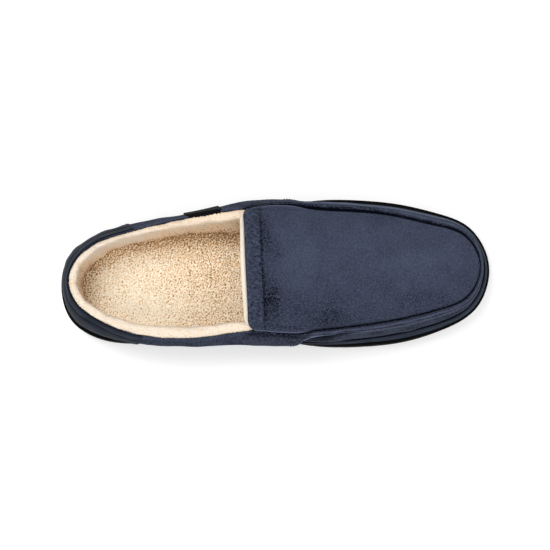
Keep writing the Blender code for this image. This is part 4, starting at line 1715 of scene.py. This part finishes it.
@dataclass
class VampLining(Assembly):
    """Fleece under the apron, rolled out behind the throat edge."""

    steps_across: int = 120
    reach: float = 0.95
    roll: Pairs = (
        (-15.0, -1.9), (-9.0, -1.9), (-3.0, -1.9), (0.2, -1.9), (1.6, -1.3), (2.8, -1.5), (3.6, -2.5),
        (3.7, -3.7), (3.1, -4.8), (1.6, -5.4), (-2.0, -5.4), (-9.0, -5.0), (-15.0, -4.8),
    )
    roll_rows: int = 44
    cover: float = 1.9
    depth: float = 3.0
    sheet_from: float = 14.0
    sheet_short: float = 3.0
    sheet_reach: float = 0.975
    pile: float = 0.16
    fill: float = 0.5

    def build(self) -> Pieces:
        """Makes the roll and the lining ahead of it.

        Returns:
            Both as one piece.
        """
        last = self.last
        maker = MeshMaker(last)
        across = np.linspace(-self.reach, self.reach, self.steps_across + 1)
        edge = last.apron(last.apron_at([0.0, 1.0]), across)
        normal = upward(grid_normals(edge))[0]
        back = edge[0] - edge[1]
        back /= np.linalg.norm(back, axis=1)[:, None]
        profile = smoothed(self.roll, self.roll_rows)
        section = edge[0] + back * profile[:, None, :1] + normal * profile[:, None, 1:]
        normals = grid_normals(section)
        normals *= np.where((normals * back).sum(axis=-1).mean(axis=1) < 0, -1.0, 1.0)[:, None, None]
        round_it = np.arange(self.roll_rows)[:, None] * 0.95
        curls = Curls(41, 1.7).at(section[..., 1], round_it + 0 * section[..., 1])
        shown = bell(np.linspace(-1, 1, self.roll_rows), 0, 0.6)[:, None]
        section = section + normals * (self.pile * curls * shown)[..., None]
        maker.bar(section, 1.0 + 0.1 * curls)
        at = np.linspace(last.apron_at(self.sheet_from), last.toe_at - self.sheet_short, 74)
        sheet = last.apron(at, np.linspace(-self.sheet_reach, self.sheet_reach, 53))
        up = upward(grid_normals(sheet))
        curls = Curls(43, 4.0).at(sheet[..., 0], sheet[..., 1])
        under = sheet - up * (self.cover + self.depth + 0.2 * curls)[..., None]
        maker.slab(under, sheet - up * self.cover, 0.7 + 0.1 * curls)
        piece = maker.build("vamp_lining", LINING_FLEECE)
        return [piece]


@dataclass
class Footbed(Assembly):
    """Thick fleece-covered insole with looped tufts."""

    wall: float = 3.0
    drop: float = 2.5
    round: float = 1.8
    dish: float = 1.5
    waist_spread: float = 3.2
    waist_at: float = 102.0
    waist_reach: float = 30.0
    step: float = 0.42
    front_step: float = 2.4
    steps_across: int = 176
    curl_height: float = 0.45
    curl_wave: float = 1.8
    speck: float = 1.3
    # Tone along the foot: low at the heel, where shade is painted into the cup, and lower again towards the
    # throat.
    levels: Pairs = (
        (8.0, 0.74), (20.0, 0.83), (32.0, 0.90), (48.0, 0.88),
        (66.0, 0.81), (88.0, 0.70), (108.0, 0.66), (130.0, 0.74),
    )
    fill: float = 0.8

    def top_height(self, points: Array, across: Array) -> Array:
        """Heights of the dished top, with its curls.

        Args:
            points: Points of the top at the height of its rim.
            across: Their shares across the foot.

        Returns:
            The heights.
        """
        curls, dents = self.curls(points)
        head = points[..., 2] - self.dish * (1 - across**2)
        return head + self.curl_height * curls + 0.3 * dents

    def curls(self, points: Array) -> tuple[Array, Array]:
        """Relief of the pile, which also gives its tone.

        Args:
            points: Points of the top.

        Returns:
            Curls with pits and lips, and wide dents; the lips sit beside the pits towards the light, so in
            the tone they are painted highlights next to the pits' painted shade.
        """
        x, y = points[..., 0], points[..., 1]
        warp = Curls(3, 11.0, 0.5).at(x, y)
        curls = Curls(7, self.curl_wave, 0.8, 72.0, 480).at(x + 0.35 * warp, y - 0.25 * warp)
        specks = Specks(17, self.speck)
        along, aside = x + 0.3 * warp, 0.85 * y - 0.2 * warp
        # The lips lie on the side towards the key light: painted highlights beside the pits' painted shade.
        pits_and_shade, lips_and_highlights = specks.at(along, aside), specks.at(along + 0.5, aside - 0.4)
        return 0.17 + 0.38 * curls - 0.7 * pits_and_shade + 0.45 * lips_and_highlights, Curls(13, 15.0, 0.5).at(x, y)

    def build(self) -> Pieces:
        """Makes the footbed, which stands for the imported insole.

        Returns:
            The footbed.
        """
        last = self.last
        at = last.loop(self.step, self.front_step)
        head = last.level("welt", at) - self.drop
        inset = -self.wall - last.gap
        low = grown(last.wall(at, [0.0])[0], inset)
        waist = last.wall_at(at, last.level("side", at), inset)
        spread = self.waist_spread * bell(low[:, 0], self.waist_at, self.waist_reach) * (low[:, 1] < 0)
        shoulder = last.wall_at(at, head - self.round, inset + 0.4 * spread)
        rows = [low, waist, shoulder]
        for inwards, below in ((0.3, 0.3), (1.0, 0.0)):
            out = (0.4 + 0.6 * inwards) * spread
            level = last.wall_at(at, head - self.round, inset - inwards * self.round + out)
            rows.append(at_height(level, head - below * self.round))
        maker = MeshMaker(last)
        numbers = maker.add(np.array(rows), 0.5)
        maker.skin(numbers, close_columns=True)
        maker.fill(numbers[0], rows[0], 4, last.over_ground(last.plate + last.gap))
        maker.fill(numbers[-1], rows[-1], self.steps_across, self.top_height)
        maker.tones[-1] = self.top_tone(maker.points[-1])
        piece = maker.build("footbed", FOOTBED_FLEECE)
        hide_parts("insole")
        return [piece]

    def top_tone(self, points: Array) -> Array:
        """Tones of the top, by the height in the pile and the shade along the lining.

        Args:
            points: Points of the top.

        Returns:
            The tones.
        """
        curls, dents = self.curls(points)
        x, y = points[:, 0], points[:, 1]
        last = self.last
        at = last.loop(3.0)
        ring = grown(last.ring("top", at, "top"), -last.along(CollarLining.feet, at))[:, :2]
        rim = np.concatenate([
            np.linalg.norm(some[:, None] - ring[None], axis=2).min(axis=1)
            for some in np.array_split(points[:, :2], 24)
        ])
        lateral = ease(-5, 18, y)
        # The inner side is lifted as painted light.
        level = np.interp(x, *np.array(self.levels).T) + 0.15 * ease(5, -25, y)
        # Stronger pile contrast at the heel, towards the throat and along the lining, where painted shade
        # deepens the gaps.
        shade_contrast = 0.9 + 0.6 * bell(x, 12, 14) + 0.35 * ease(70, 105, x) + 0.35 * bell(rim, 0, 8.0)
        tone = level + shade_contrast * 0.75 * (curls - 0.2) + 0.02 * dents
        # Painted shadow of the outer wall over the footbed's outer edge, and painted shade along the
        # lining's foot.
        tone = tone - 0.5 * lateral * bell(rim, 0, 8.0) - 0.15 * bell(rim, 0, 1.3)
        return np.clip(tone, 0, 1)


@dataclass
class Foxing(Assembly):
    """Smooth band wrapped round the foot of the upper."""

    foot: float = 3.5
    middle: float = 3.1
    head: float = 1.6
    round: float = 1.2
    shoulder: float = 0.6
    clear: float = 0.5
    step: float = 1.5
    rows: int = 16
    shares: Triples = (
        (0.00, 0.45, 0.45),
        (0.14, 0.50, 0.50),
        (0.33, 0.70, 0.60),
        (0.56, 1.15, 0.50),
        (0.62, 0.90, 0.50),
        (0.70, 0.60, 0.50),
        (0.80, 0.60, 0.50),
        (0.87, 0.80, 0.55),
        (1.00, 0.75, 0.75),
    )

    def build(self) -> Pieces:
        """Makes the band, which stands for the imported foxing.

        Returns:
            The band.
        """
        last = self.last
        at = last.loop(self.step)
        share = last.along(self.shares, at)
        foot = last.level("side", at) + last.gap
        head = last.level("welt", at)
        half_way = (foot + head) / 2
        widths = (
            (foot, self.foot - 0.5),
            (foot + 0.6, self.foot),
            (half_way, self.middle),
            (head - self.round, self.head + self.shoulder),
            (head - self.round / 3, self.head),
        )
        outside = [last.wall_at(at, z, self.clear + (wide - self.clear) * share) for z, wide in widths]
        outside.append(last.wall_at(at, head, 2 * self.clear))
        face = smoothed(outside, self.rows)
        row = np.linspace(0, 1, self.rows)[:, None]
        back = [last.wall_at(at, z, self.clear) for z in (head - self.round / 2, half_way, foot)]
        dents = Curls(51, 14.0, 0.5).at(face[..., 0] * 0.8, face[..., 1] + face[..., 2] * 2)
        x, y = face[..., 0], face[..., 1]
        # Painted shade on the inner side under the quarter's bulge.
        hollow_shade = ease(152, 158, x) * (1 - ease(172, 188, x)) * ease(0, 10, -y)
        # Painted shade at the band's foot and along its top edge, and a painted highlight low on its bulge.
        tone = 0.4 * bell(row, 0.25, 0.14) - 0.4 * bell(row, 0, 0.1) - 0.12 * bell(row, 0.75, 0.2)
        tone = tone + 0.12 * dents - 0.6 * bell(row, 1.0, 0.06) * (1 - 0.6 * ease(266, 284, x))
        tone = tone - 1.3 * hollow_shade * ease(0.32, 0.45, row) + 0.3 * ease(255, 280, x)
        maker = MeshMaker(last)
        maker.tube(np.concatenate([face, np.array(back)]), np.concatenate([tone, np.zeros((3, len(at)))]))
        piece = maker.build("foxing_band", SMOOTH_CLOTH)
        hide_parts("foxing")
        return [piece]


@dataclass
class WallPatch(Assembly):
    """Plate laid on the outside of the wall."""

    head: float = 3.995
    thick: float = 0.3
    edge: float = 1.0
    turn: float = 1.2
    turn_rises: Pairs = ((0.35, 0.45), (0.7, 0.55), (1.0, 0.3))

    def turned_in(self, over: Array, under: Array) -> tuple[Array, Array]:
        """Carries a plate over the collar edge.

        Args:
            over: Rows of its outside, the last at the edge.
            under: Rows of its inside.

        Returns:
            Both with the rows that turn in.
        """
        slope = np.gradient(over[-1], axis=0)
        inward = np.column_stack([slope[:, 1], -slope[:, 0], 0 * slope[:, 0]])
        inward /= np.linalg.norm(inward, axis=1)[:, None]
        outside, inside = [*over], [*under]
        for share, rise in self.turn_rises:
            outside.append(over[-1] + inward * self.turn * share + UP * rise)
            inside.append(under[-1] + inward * (self.turn * share - 0.2) + UP * (rise - 0.35))
        return np.array(outside), np.array(inside)

    def sheets(self, at: Array, rows: Array, relief: Array | float = 0.0) -> tuple[Array, Array]:
        """Outside and inside of the plate, with rounded edges.

        Args:
            at: Loop parameters of its columns.
            rows: Rows of the wall that it covers.
            relief: Relief of its outside.

        Returns:
            The two grids of points.
        """
        points = self.last.wall(at, rows)
        normals = self.last.outward(grid_normals(points), points)
        tall = np.linalg.norm(np.diff(points, axis=0), axis=-1).sum(axis=0)
        wide = np.linalg.norm(np.diff(points, axis=1), axis=-1).sum(axis=1)
        up = np.linspace(0, 1, len(rows))[:, None] * tall[None, :]
        across = np.linspace(0, 1, len(at))[None, :] * wide[:, None]
        near = np.minimum(up, np.minimum(across, wide[:, None] - across))
        plump = np.sqrt(np.clip(1 - np.clip(1 - near / self.edge, 0, 1) ** 2, 0, 1))
        over = self.last.gap + self.thick * (0.25 + 0.75 * plump) + relief * plump
        return points + normals * over[..., None], points + normals * 0.1


@dataclass
class HeelCounter(WallPatch):
    """Smooth overlay round the heel, sewn down at its front edges."""

    outer_end: float = 50.0
    inner_end: float = 53.0
    foot: float = 2.05
    crease_row: float = 3.62
    columns: int = 150
    rows: int = 40
    stitches: Stitching = Stitching(3.2, 2.2, 0.25)
    stitch_inset: float = 2.2

    def build(self) -> Pieces:
        """Makes the overlay and its stitches.

        Returns:
            The overlay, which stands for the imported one, and the stitches.
        """
        last = self.last
        start = -last.place(self.inner_end, Side.OUTER)
        end = last.place(self.outer_end, Side.OUTER)
        at = np.linspace(start, end, self.columns)
        rows = np.linspace(self.foot, self.head, self.rows)
        dents = Curls(61, 16.0, 0.5).at(*np.meshgrid(at, rows * 16))
        wander = self.crease_row + 0.05 * np.sin(at / 9)[None, :]
        crease = bell(rows[:, None], wander, 0.07)
        over, under = self.sheets(at, rows, 0.18 * dents - 0.45 * crease)
        # Painted shade in the crease and the dents, a painted highlight on the roll just above the crease,
        # and more painted shade where the edge turns in.
        tone = -0.4 + 0.12 * dents - 0.35 * crease + 0.3 * bell(rows[:, None], wander + 0.14, 0.06)
        tone = np.concatenate([tone, np.tile(tone[-1] - 0.3, (len(self.turn_rises), 1))])
        maker = MeshMaker(last)
        maker.slab(*self.turned_in(over, under), tone)
        piece = maker.build("counter_panel", SMOOTH_CLOTH)
        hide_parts("heel_counter")
        normals = last.outward(grid_normals(over), over)
        sewn = MeshMaker(last)
        column = round(self.stitch_inset / ((end - start) / (self.columns - 1)))
        for k in (column, self.columns - 1 - column):
            self.stitches.lay(sewn, over[2:-2, k], normals[2:-2, k])
        return [piece, sewn.build("counter_stitches", NAVY_THREAD)]


@dataclass
class SideTab(WallPatch):
    """Plain black woven tab at the outer side of the collar."""

    thick: float = 0.6
    edge: float = 0.5
    turn: float = 3.0
    start: float = 86.0
    end: float = 110.0
    foot: float = 3.2
    columns: int = 60
    rows: int = 26

    def build(self) -> Pieces:
        """Makes the tab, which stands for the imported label.

        Returns:
            The tab.
        """
        last = self.last
        ends = (last.place(x, Side.OUTER) for x in (self.start, self.end))
        at = np.linspace(*ends, self.columns)
        rows = np.linspace(self.foot, self.head, self.rows)
        maker = MeshMaker(last)
        maker.slab(*self.turned_in(*self.sheets(at, rows)))
        piece = maker.build("side_tab", BLACK_RIBBON)
        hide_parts("side_label")
        return [piece]


@dataclass
class QuarterStitches(Assembly):
    """Stitches along the front edge of both quarters and beside the lapped apron."""

    wall: UpperWall
    inset: float = 2.4
    rows: tuple[float, float] = (2.25, 3.75)
    lap: tuple[float, float] = (127.0, 168.0)
    lap_rows: tuple[float, ...] = (3.88, 3.92, 3.96)
    rise: float = 0.1
    stitches: Stitching = Stitching(3.0, 2.0, 0.24)

    def build(self) -> Pieces:
        """Makes the rows.

        Returns:
            All rows as one piece.
        """
        last = self.last
        rows = np.linspace(*self.rows, 40)
        maker = MeshMaker(last)
        for side in Side:
            x = self.wall.quarter_edge(rows) - self.inset
            at = np.array([last.place(value, side) for value in x])
            fan = np.array([last.wall(a + np.array([-0.5, 0, 0.5]), [r])[0] for a, r in zip(at, rows)])
            normals = grid_normals(fan)
            normals *= np.where(normals[..., 1:2] * side.value < 0, -1.0, 1.0)
            self.stitches.lay(maker, fan[:, 1] + normals[:, 1] * self.rise, normals[:, 1])
            at = np.array([last.place(value, side, "top") for value in np.linspace(*self.lap, 80)])
            fan = last.wall(at, self.lap_rows)
            normals = upward(grid_normals(fan))
            self.stitches.lay(maker, fan[1] + normals[1] * self.rise, normals[1])
        return [maker.build("quarter_stitches", NAVY_THREAD)]


class Rib(NamedTuple):
    """Width of a rib along the shoe, and the heights of its foot and crest over the sole's lift."""

    wide: float
    foot: float
    crest: float


@dataclass
class Outsole(Assembly):
    """Moulded rubber cup with its rim, notches and tread."""

    edge_round: float = 1.6
    groove: float = 0.7
    groove_foot: float = 6.2
    groove_head: float = 3.6
    groove_slope: float = 0.7
    top_round: float = 0.6
    rim: float = 6.0
    field_depth: float = 2.0
    step: float = 1.6
    notches: int = 10
    notch_depth: float = 1.4
    notch_widths: tuple[float, float] = (1.6, 3.2)
    notch_starts: dict[Side, tuple[float, float]] = field(default_factory=lambda: {
        Side.OUTER: (48.0, 16.8),
        Side.INNER: (50.0, 17.2),
    })
    notch_slope: float = 0.08
    heel_pad: Pairs = (
        (15.5, 0.0), (20.5, 14.0), (34.0, 21.5), (51.0, 24.0), (55.8, 23.6), (57.4, 21.2), (57.5, 10.0),
        (57.5, -10.0), (57.4, -21.2), (55.8, -23.6), (51.0, -24.0), (32.0, -22.0), (20.0, -14.5),
    )
    forefoot_pad: Pairs = (
        (166.5, -19.5), (173.0, -29.5), (193.0, -35.5), (215.0, -36.0), (236.0, -32.5), (254.0, -26.0),
        (264.5, -15.5), (267.5, -2.0), (262.5, 11.5), (252.0, 21.5), (240.0, 28.0), (234.0, 27.5),
        (231.5, 22.0), (230.0, 8.0), (229.5, -7.0), (225.0, -14.0), (213.0, -11.0), (203.0, -5.0),
        (192.0, -1.0), (178.0, -2.0), (169.5, -8.5),
    )
    span_power: float = 0.75
    plate_centre: tuple[float, float] = (106.0, 4.5)
    plate_size: tuple[float, float] = (24.0, 37.5)
    plate_corner: float = 1.8
    border: float = 1.5
    pad_depth: float = 0.7
    cover_step: float = 5.0
    cover_clear: float = 1.5
    rim_clear: float = 0.3
    pad_clear: float = 1.3
    border_clear: float = 0.5
    sink: float = 0.1
    rib_pitch: float = 4.5
    rib_width: float = 2.8
    rib_crest: float = 0.5
    rib_swing: float = 8.4
    rib_half_wave: float = 11.1
    rib_apex: float = 0.9
    rib_clear: float = 0.12
    rib_start: float = -6.0
    rib_reach: float = 54.0
    rib_sample: float = 0.2
    diamond: tuple[float, float] = (14.1, 18.7)
    diamond_rings: tuple[float, ...] = (0.94, 0.69, 0.44, 0.19)
    diamond_width: float = 1.15
    diamond_lap: float = 0.06
    diamond_clear: float = 0.05

    def build(self) -> Pieces:
        """Makes the cup and the tread.

        Returns:
            The cup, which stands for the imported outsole, and the tread.
        """
        cup = self.cup()
        tread = self.tread()
        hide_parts("outsole")
        return [cup, tread]

    def columns(self) -> tuple[Array, Array]:
        """Columns of the cup, with close pairs at the edges of the notches.

        Returns:
            Their loop parameters, and whether each lies in a notch.
        """
        last = self.last
        wide = np.linspace(*self.notch_widths, self.notches) / 2
        gaps = []
        for side, (first, pitch) in self.notch_starts.items():
            x = first + pitch * np.arange(self.notches)
            gaps += [(side, *ends) for ends in zip(x - wide, x + wide)]
        edges = np.array([ends for _, *ends in gaps]).ravel()
        edges = np.concatenate([edges - self.notch_slope, edges + self.notch_slope])
        half = np.linspace(0, last.toe_at, round(last.toe_at / self.step) + 1)
        half = np.append(half, [last.place(x, Side.OUTER, "sole") for x in edges])
        half = np.unique(np.round(half, 3))
        half = half[np.append(True, np.diff(half) > 0.02)]
        at = last.round_both(half)
        x, y, _ = last.ring("sole", at, "side").T
        cut = np.zeros(len(at), bool)
        for side, low, high in gaps:
            cut |= (x > low) & (x < high) & (np.sign(y) == side.value)
        return at, cut

    def cup(self) -> bpy.types.Object:
        """Makes the cup with a rounded, notched rim and a groove round its side.

        Returns:
            The cup.
        """
        last = self.last
        at, cut = self.columns()
        sole = last.ring("sole", at, "side")
        top = sole[:, 2]
        ground = last.lift(sole[:, 0])
        floor = ground + np.where(cut, self.notch_depth, 0.0)
        edge = grown(sole, -self.rim)
        turn = np.radians((0, 25, 50, 75, 90))
        corner = zip(self.edge_round * (np.sin(turn) - 1), self.edge_round * (1 - np.cos(turn)))
        levels = [(out, floor + rise) for out, rise in corner]
        levels += [
            (0.0, top - self.groove_foot - 0.3),
            (-0.15, top - self.groove_foot),
            (-self.groove, top - self.groove_foot + self.groove_slope),
            (-self.groove, top - self.groove_head - self.groove_slope),
            (-0.15, top - self.groove_head),
            (0.0, top - self.groove_head + 0.3),
            (0.0, top - self.top_round),
            (-0.3 * self.top_round, top - 0.3 * self.top_round),
            (-self.top_round, top),
        ]
        rows = [at_height(edge, last.lift(edge[:, 0]) + self.field_depth), at_height(edge, floor)]
        rows += [at_height(grown(sole, out), z) for out, z in levels]
        rows += [grown(points, last.gap) for points in last.wall(at, [1.0, 0.0])]
        rows[-1][:, 2] -= last.gap
        tones = np.zeros((len(rows), len(at)))
        # Painted shade: the sunk field, the notches and the side wall are darker than the rim's rounded
        # edge.
        tones[0] = -0.6
        tones[1:5] = np.where(cut, -0.5, 0.25)
        tones[5:] = -0.8
        maker = MeshMaker(last)
        numbers = maker.add(np.array(rows), tones)
        maker.skin(numbers, close_columns=True)
        # The sunk field is filled with the same painted shade.
        maker.fill(numbers[0], rows[0], 6, last.over_ground(self.field_depth), -0.6)
        maker.fill(numbers[-1], rows[-1], 6, last.over_ground(last.plate))
        return maker.build("rubber_cup", RUBBER, 38)

    def outline(self, corners: Pairs, step: float = 1.4) -> Array:
        """A smooth closed curve through control points in plan.

        Args:
            corners: Control points.
            step: Spacing of the curve's points.

        Returns:
            The curve's points.
        """
        points = np.array(corners, float)
        spans = np.linalg.norm(np.roll(points, -1, axis=0) - points, axis=1)
        knots = np.concatenate([[0], np.cumsum(spans**self.span_power)])
        count = round(spans.sum() / step)
        return spline(knots, points, np.linspace(0, knots[-1], count, endpoint=False), closed=True)

    def plate_outline(self) -> Array:
        """Outline of the bare plate, its corners slightly rounded.

        Returns:
            Its points in plan.
        """
        half = np.array(self.plate_size) / 2
        turn = np.radians((0, 30, 60, 90))
        corners = []
        for i, (sx, sy) in enumerate(((1, 1), (-1, 1), (-1, -1), (1, -1))):
            centre = np.array([sx, sy]) * (half - self.plate_corner)
            arc = turn + i * np.pi / 2
            corners += [*(centre + self.plate_corner * np.column_stack([np.cos(arc), np.sin(arc)]))]
        return np.array(corners) + np.array(self.plate_centre)

    def tread(self) -> bpy.types.Object:
        """Makes the pads, the plate, the herringbone ribs and the diamond rings.

        Returns:
            All of them as one piece.
        """
        last = self.last
        maker = MeshMaker(last)
        pads = [self.turned(self.outline(corners)) for corners in (self.heel_pad, self.forefoot_pad)]
        islands = [*pads, self.turned(self.plate_outline())]
        for curve in islands:
            self.pad(maker, curve)
        rim = last.ring("sole", last.loop(2.5), "side")
        room = grown(rim, -self.rim - self.rim_clear)[:, :2]
        self.herringbone(maker, room, [self.shifted(curve, self.pad_clear) for curve in islands])
        for curve in pads:
            self.diamonds(maker, self.shifted(curve, -self.border - self.border_clear))
        return maker.build("tread", RUBBER, 30)

    def turned(self, curve: Array) -> Array:
        """An outline turned to run clockwise seen from above.

        Args:
            curve: The outline in plan.

        Returns:
            The same outline, or its points in reverse.
        """
        x, y = curve[:, 0], curve[:, 1]
        area = (x * np.roll(y, -1) - np.roll(x, -1) * y).sum()
        return curve[::-1] if area > 0 else curve

    def shifted(self, curve: Array, by: float) -> Array:
        """An outline in plan moved outwards by a distance."""
        return grown(at_height(curve, 0.0), by)[:, :2]

    def pad(self, maker: MeshMaker, curve: Array) -> None:
        """Adds a raised pad with a border.

        Args:
            maker: Mesh that takes it.
            curve: Its outline in plan.
        """
        last = self.last
        inner = self.shifted(curve, -self.border)
        levels = ((curve, self.field_depth + self.sink), (curve, 0.15), (self.shifted(curve, -0.15), 0.0),
                  (self.shifted(curve, -self.border + 0.15), 0.0), (inner, 0.15), (inner, self.pad_depth))
        rows = [at_height(line, last.lift(line[:, 0]) + z) for line, z in levels]
        # Painted shade at the pad's foot and over its sunk middle, lighter on its raised border.
        numbers = maker.add(np.array(rows), np.array([-0.6, 0.2, 0.45, 0.45, 0.2, -0.3])[:, None])
        maker.skin(numbers, close_columns=True)
        self.cover(maker, inner, numbers[-1], self.pad_depth, -0.3)
        self.cover(maker, curve, numbers[0], self.field_depth + self.sink, -0.6)

    def cover(self, maker: MeshMaker, curve: Array, ring: Array, z: float, tone: float) -> None:
        """Closes an outline in plan with a face that follows the sole's lift.

        Args:
            maker: Mesh that takes it.
            curve: The outline.
            ring: Numbers of the outline's points in the mesh.
            z: Height over the sole's lift.
            tone: Its tone.
        """
        box = zip(curve.min(axis=0), curve.max(axis=0))
        spans = [np.arange(low, high, self.cover_step) for low, high in box]
        inside = np.stack(np.meshgrid(*spans), axis=-1).reshape(-1, 2)
        inside = inside[within(inside, self.shifted(curve, -self.cover_clear))]
        places = [Vector(point) for point in np.vstack([curve, inside])]
        made = delaunay_2d_cdt(places, [], [list(range(len(curve)))], 1, 1e-5)
        flat = np.array([tuple(point) for point in made[0]])
        source = np.array([min(sources, default=len(curve)) for sources in made[3]])
        new = source >= len(curve)
        numbers = ring[np.minimum(source, len(curve) - 1)]
        numbers[new] = maker.add(at_height(flat[new], self.last.lift(flat[new, 0]) + z), tone)
        maker.triangles.append(numbers[np.array([list(face) for face in made[2]])])

    def run(self, maker: MeshMaker, line: Array, keep: Array, rib: Rib) -> None:
        """Adds the stretches of a rib that lie where they may, with points only where it bends.

        Args:
            maker: Mesh that takes them.
            line: Places in plan along the rib, evenly spaced across the foot.
            keep: Which of them may stay.
            rib: Its section.
        """
        ends = np.flatnonzero(np.diff(np.concatenate([[0], keep.astype(int), [0]])))
        bends = np.concatenate([[True], np.abs(np.diff(line[:, 0], 2)) > 1e-6, [True]])
        flat = 0.5 * self.rib_crest
        shape = ((-0.5, rib.foot), (-flat, rib.crest), (flat, rib.crest), (0.5, rib.foot))
        for first, stop in zip(ends[::2], ends[1::2]):
            if stop - first < 6:
                continue
            corner = bends[first:stop].copy()
            corner[[0, -1]] = True
            corner[[1, -2]] = False
            x, y = line[first:stop][corner].T
            ground = self.last.lift(x)
            rows = [np.column_stack([x + rib.wide * share, y, ground + z]) for share, z in shape]
            # Painted shade at the rib's feet, lighter on its crest.
            maker.bar(np.array(rows), np.array([-0.6, 0.45, 0.45, -0.6])[:, None])

    def herringbone(self, maker: MeshMaker, room: Array, islands: Sequence[Array]) -> None:
        """Adds the zigzag ribs of the tread field.

        Args:
            maker: Mesh that takes them.
            room: Outline that they stay inside of.
            islands: Outlines that they stay clear of.
        """
        y = np.arange(-self.rib_reach, self.rib_reach, self.rib_sample)
        phase = np.mod((y - self.rib_apex) / self.rib_half_wave, 2)
        swing = self.rib_swing * np.where(phase < 1, 1 - phase, phase - 1)
        rib = Rib(self.rib_width, self.field_depth + self.sink, self.rib_clear)
        for start in np.arange(self.rib_start, self.last.length, self.rib_pitch):
            line = np.column_stack([start + swing, y])
            keep = within(line, room)
            for island in islands:
                keep &= ~within(line, island)
            self.run(maker, line, keep, rib)

    def diamonds(self, maker: MeshMaker, room: Array) -> None:
        """Adds staggered sets of diamond rings on a pad.

        Args:
            maker: Mesh that takes them.
            room: Outline that they stay inside of.
        """
        along, aside = self.diamond
        low, high = room.min(axis=0), room.max(axis=0)
        wide = self.diamond_width * np.hypot(along, aside) / aside
        rib = Rib(wide, self.pad_depth + self.diamond_clear, self.diamond_clear)
        for i in range(int((high[0] - low[0]) / along * 2) + 4):
            for j in range(int((high[1] - low[1]) / aside) + 3):
                centre_x = low[0] + (i - 1) * along / 2
                centre_y = low[1] + (j - 1 + 0.5 * (i % 2)) * aside
                for size in self.diamond_rings:
                    reach = size * aside / 2
                    lapped = reach + self.diamond_lap
                    count = 2 * max(8, round(reach / self.rib_sample)) + 1
                    y = centre_y + np.linspace(-lapped, lapped, count)
                    depth = size * along / 2 * (1 - np.abs(y - centre_y) / reach)
                    for sign in (-1, 1):
                        line = np.column_stack([centre_x + sign * depth, y])
                        self.run(maker, line, within(line, room), rib)


class Lamp(NamedTuple):
    """Square soft light: name, watts, side in metres and place."""

    name: str
    power: float
    size: float
    place: tuple[float, float, float]


@dataclass
class Studio:
    """Pale floor, soft light and the camera."""

    elevation: float = 84.5
    roll: float = 2.74
    distance: float = 1.3
    frame: float = 0.37565
    target: tuple[float, float, float] = (0.0, 0.0006, 0.015)
    sensor: float = 36.0
    floor_size: float = 3.0
    floor_drop: float = 0.0001
    sky: float = 0.72
    lamps: tuple[Lamp, ...] = (
        Lamp("key", 13.0, 0.8, (-0.42, 0.55, 1.55)),
        Lamp("fill", 9.3, 0.9, (0.0, -0.95, 1.35)),
    )

    def build(self) -> None:
        """Makes the studio."""
        scene = bpy.context.scene
        scene.view_settings.view_transform = "Standard"
        world = bpy.data.worlds.new("studio")
        world.use_nodes = True
        background = world.node_tree.nodes["Background"]
        background.inputs["Color"].default_value = (1, 1, 1, 1)
        background.inputs["Strength"].default_value = self.sky
        scene.world = world
        self.floor()
        for lamp in self.lamps:
            self.hang(lamp)
        self.camera()

    def floor(self) -> None:
        """Lays the floor."""
        half = self.floor_size / 2
        mesh = bpy.data.meshes.new("floor")
        corners = [(-half, -half), (half, -half), (half, half), (-half, half)]
        mesh.from_pydata([(x, y, -self.floor_drop) for x, y in corners], [], [(0, 1, 2, 3)])
        mesh.materials.append(PALE_FLOOR.material())
        floor = bpy.data.objects.new("floor", mesh)
        bpy.context.scene.collection.objects.link(floor)

    def hang(self, lamp: Lamp) -> None:
        """Hangs a soft light over the slipper.

        Args:
            lamp: The light.
        """
        light = bpy.data.lights.new(lamp.name, "AREA")
        light.energy = lamp.power
        light.size = lamp.size
        hung = bpy.data.objects.new(lamp.name, light)
        place = Vector(lamp.place)
        hung.location = place
        hung.rotation_euler = (Vector(self.target) - place).to_track_quat("-Z", "Y").to_euler()
        bpy.context.scene.collection.objects.link(hung)

    def camera(self) -> None:
        """Sets up the camera at the photograph's angle to the shoe."""
        lens = bpy.data.cameras.new("camera")
        lens.sensor_width = self.sensor
        lens.lens = self.sensor * self.distance / self.frame
        raised, turned = np.radians(self.elevation), np.radians(self.roll)
        back = Vector((0, -np.cos(raised), np.sin(raised)))
        right = Vector((1, 0, 0))
        up = back.cross(right)
        across = right * np.cos(turned) - up * np.sin(turned)
        upright = right * np.sin(turned) + up * np.cos(turned)
        place = Vector(self.target) + back * self.distance
        camera = bpy.data.objects.new("camera", lens)
        rows = [(across[i], upright[i], back[i], place[i]) for i in range(3)]
        camera.matrix_world = Matrix(rows + [(0, 0, 0, 1)])
        bpy.context.scene.collection.objects.link(camera)
        bpy.context.scene.camera = camera


def corners(box: tuple[Vector, Vector]) -> list[list[float]]:
    """A box as plain lists of numbers."""
    return [[float(value) for value in corner] for corner in box]


def main() -> None:
    """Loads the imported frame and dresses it."""
    logging.basicConfig(level=logging.INFO, format="%(name)s: %(message)s")
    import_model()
    Studio().build()
    last = Last()
    wall = UpperWall(last)
    assemblies = (
        wall,
        Apron(last),
        ThroatBand(last),
        CollarLining(last),
        VampLining(last),
        Footbed(last),
        Foxing(last),
        HeelCounter(last),
        SideTab(last),
        QuarterStitches(last, wall),
        Outsole(last),
    )
    for assembly in assemblies:
        for piece in assembly.build():
            LOG.info("%s: %d faces", piece.name, len(piece.data.polygons))


if __name__ == "__main__":
    main()
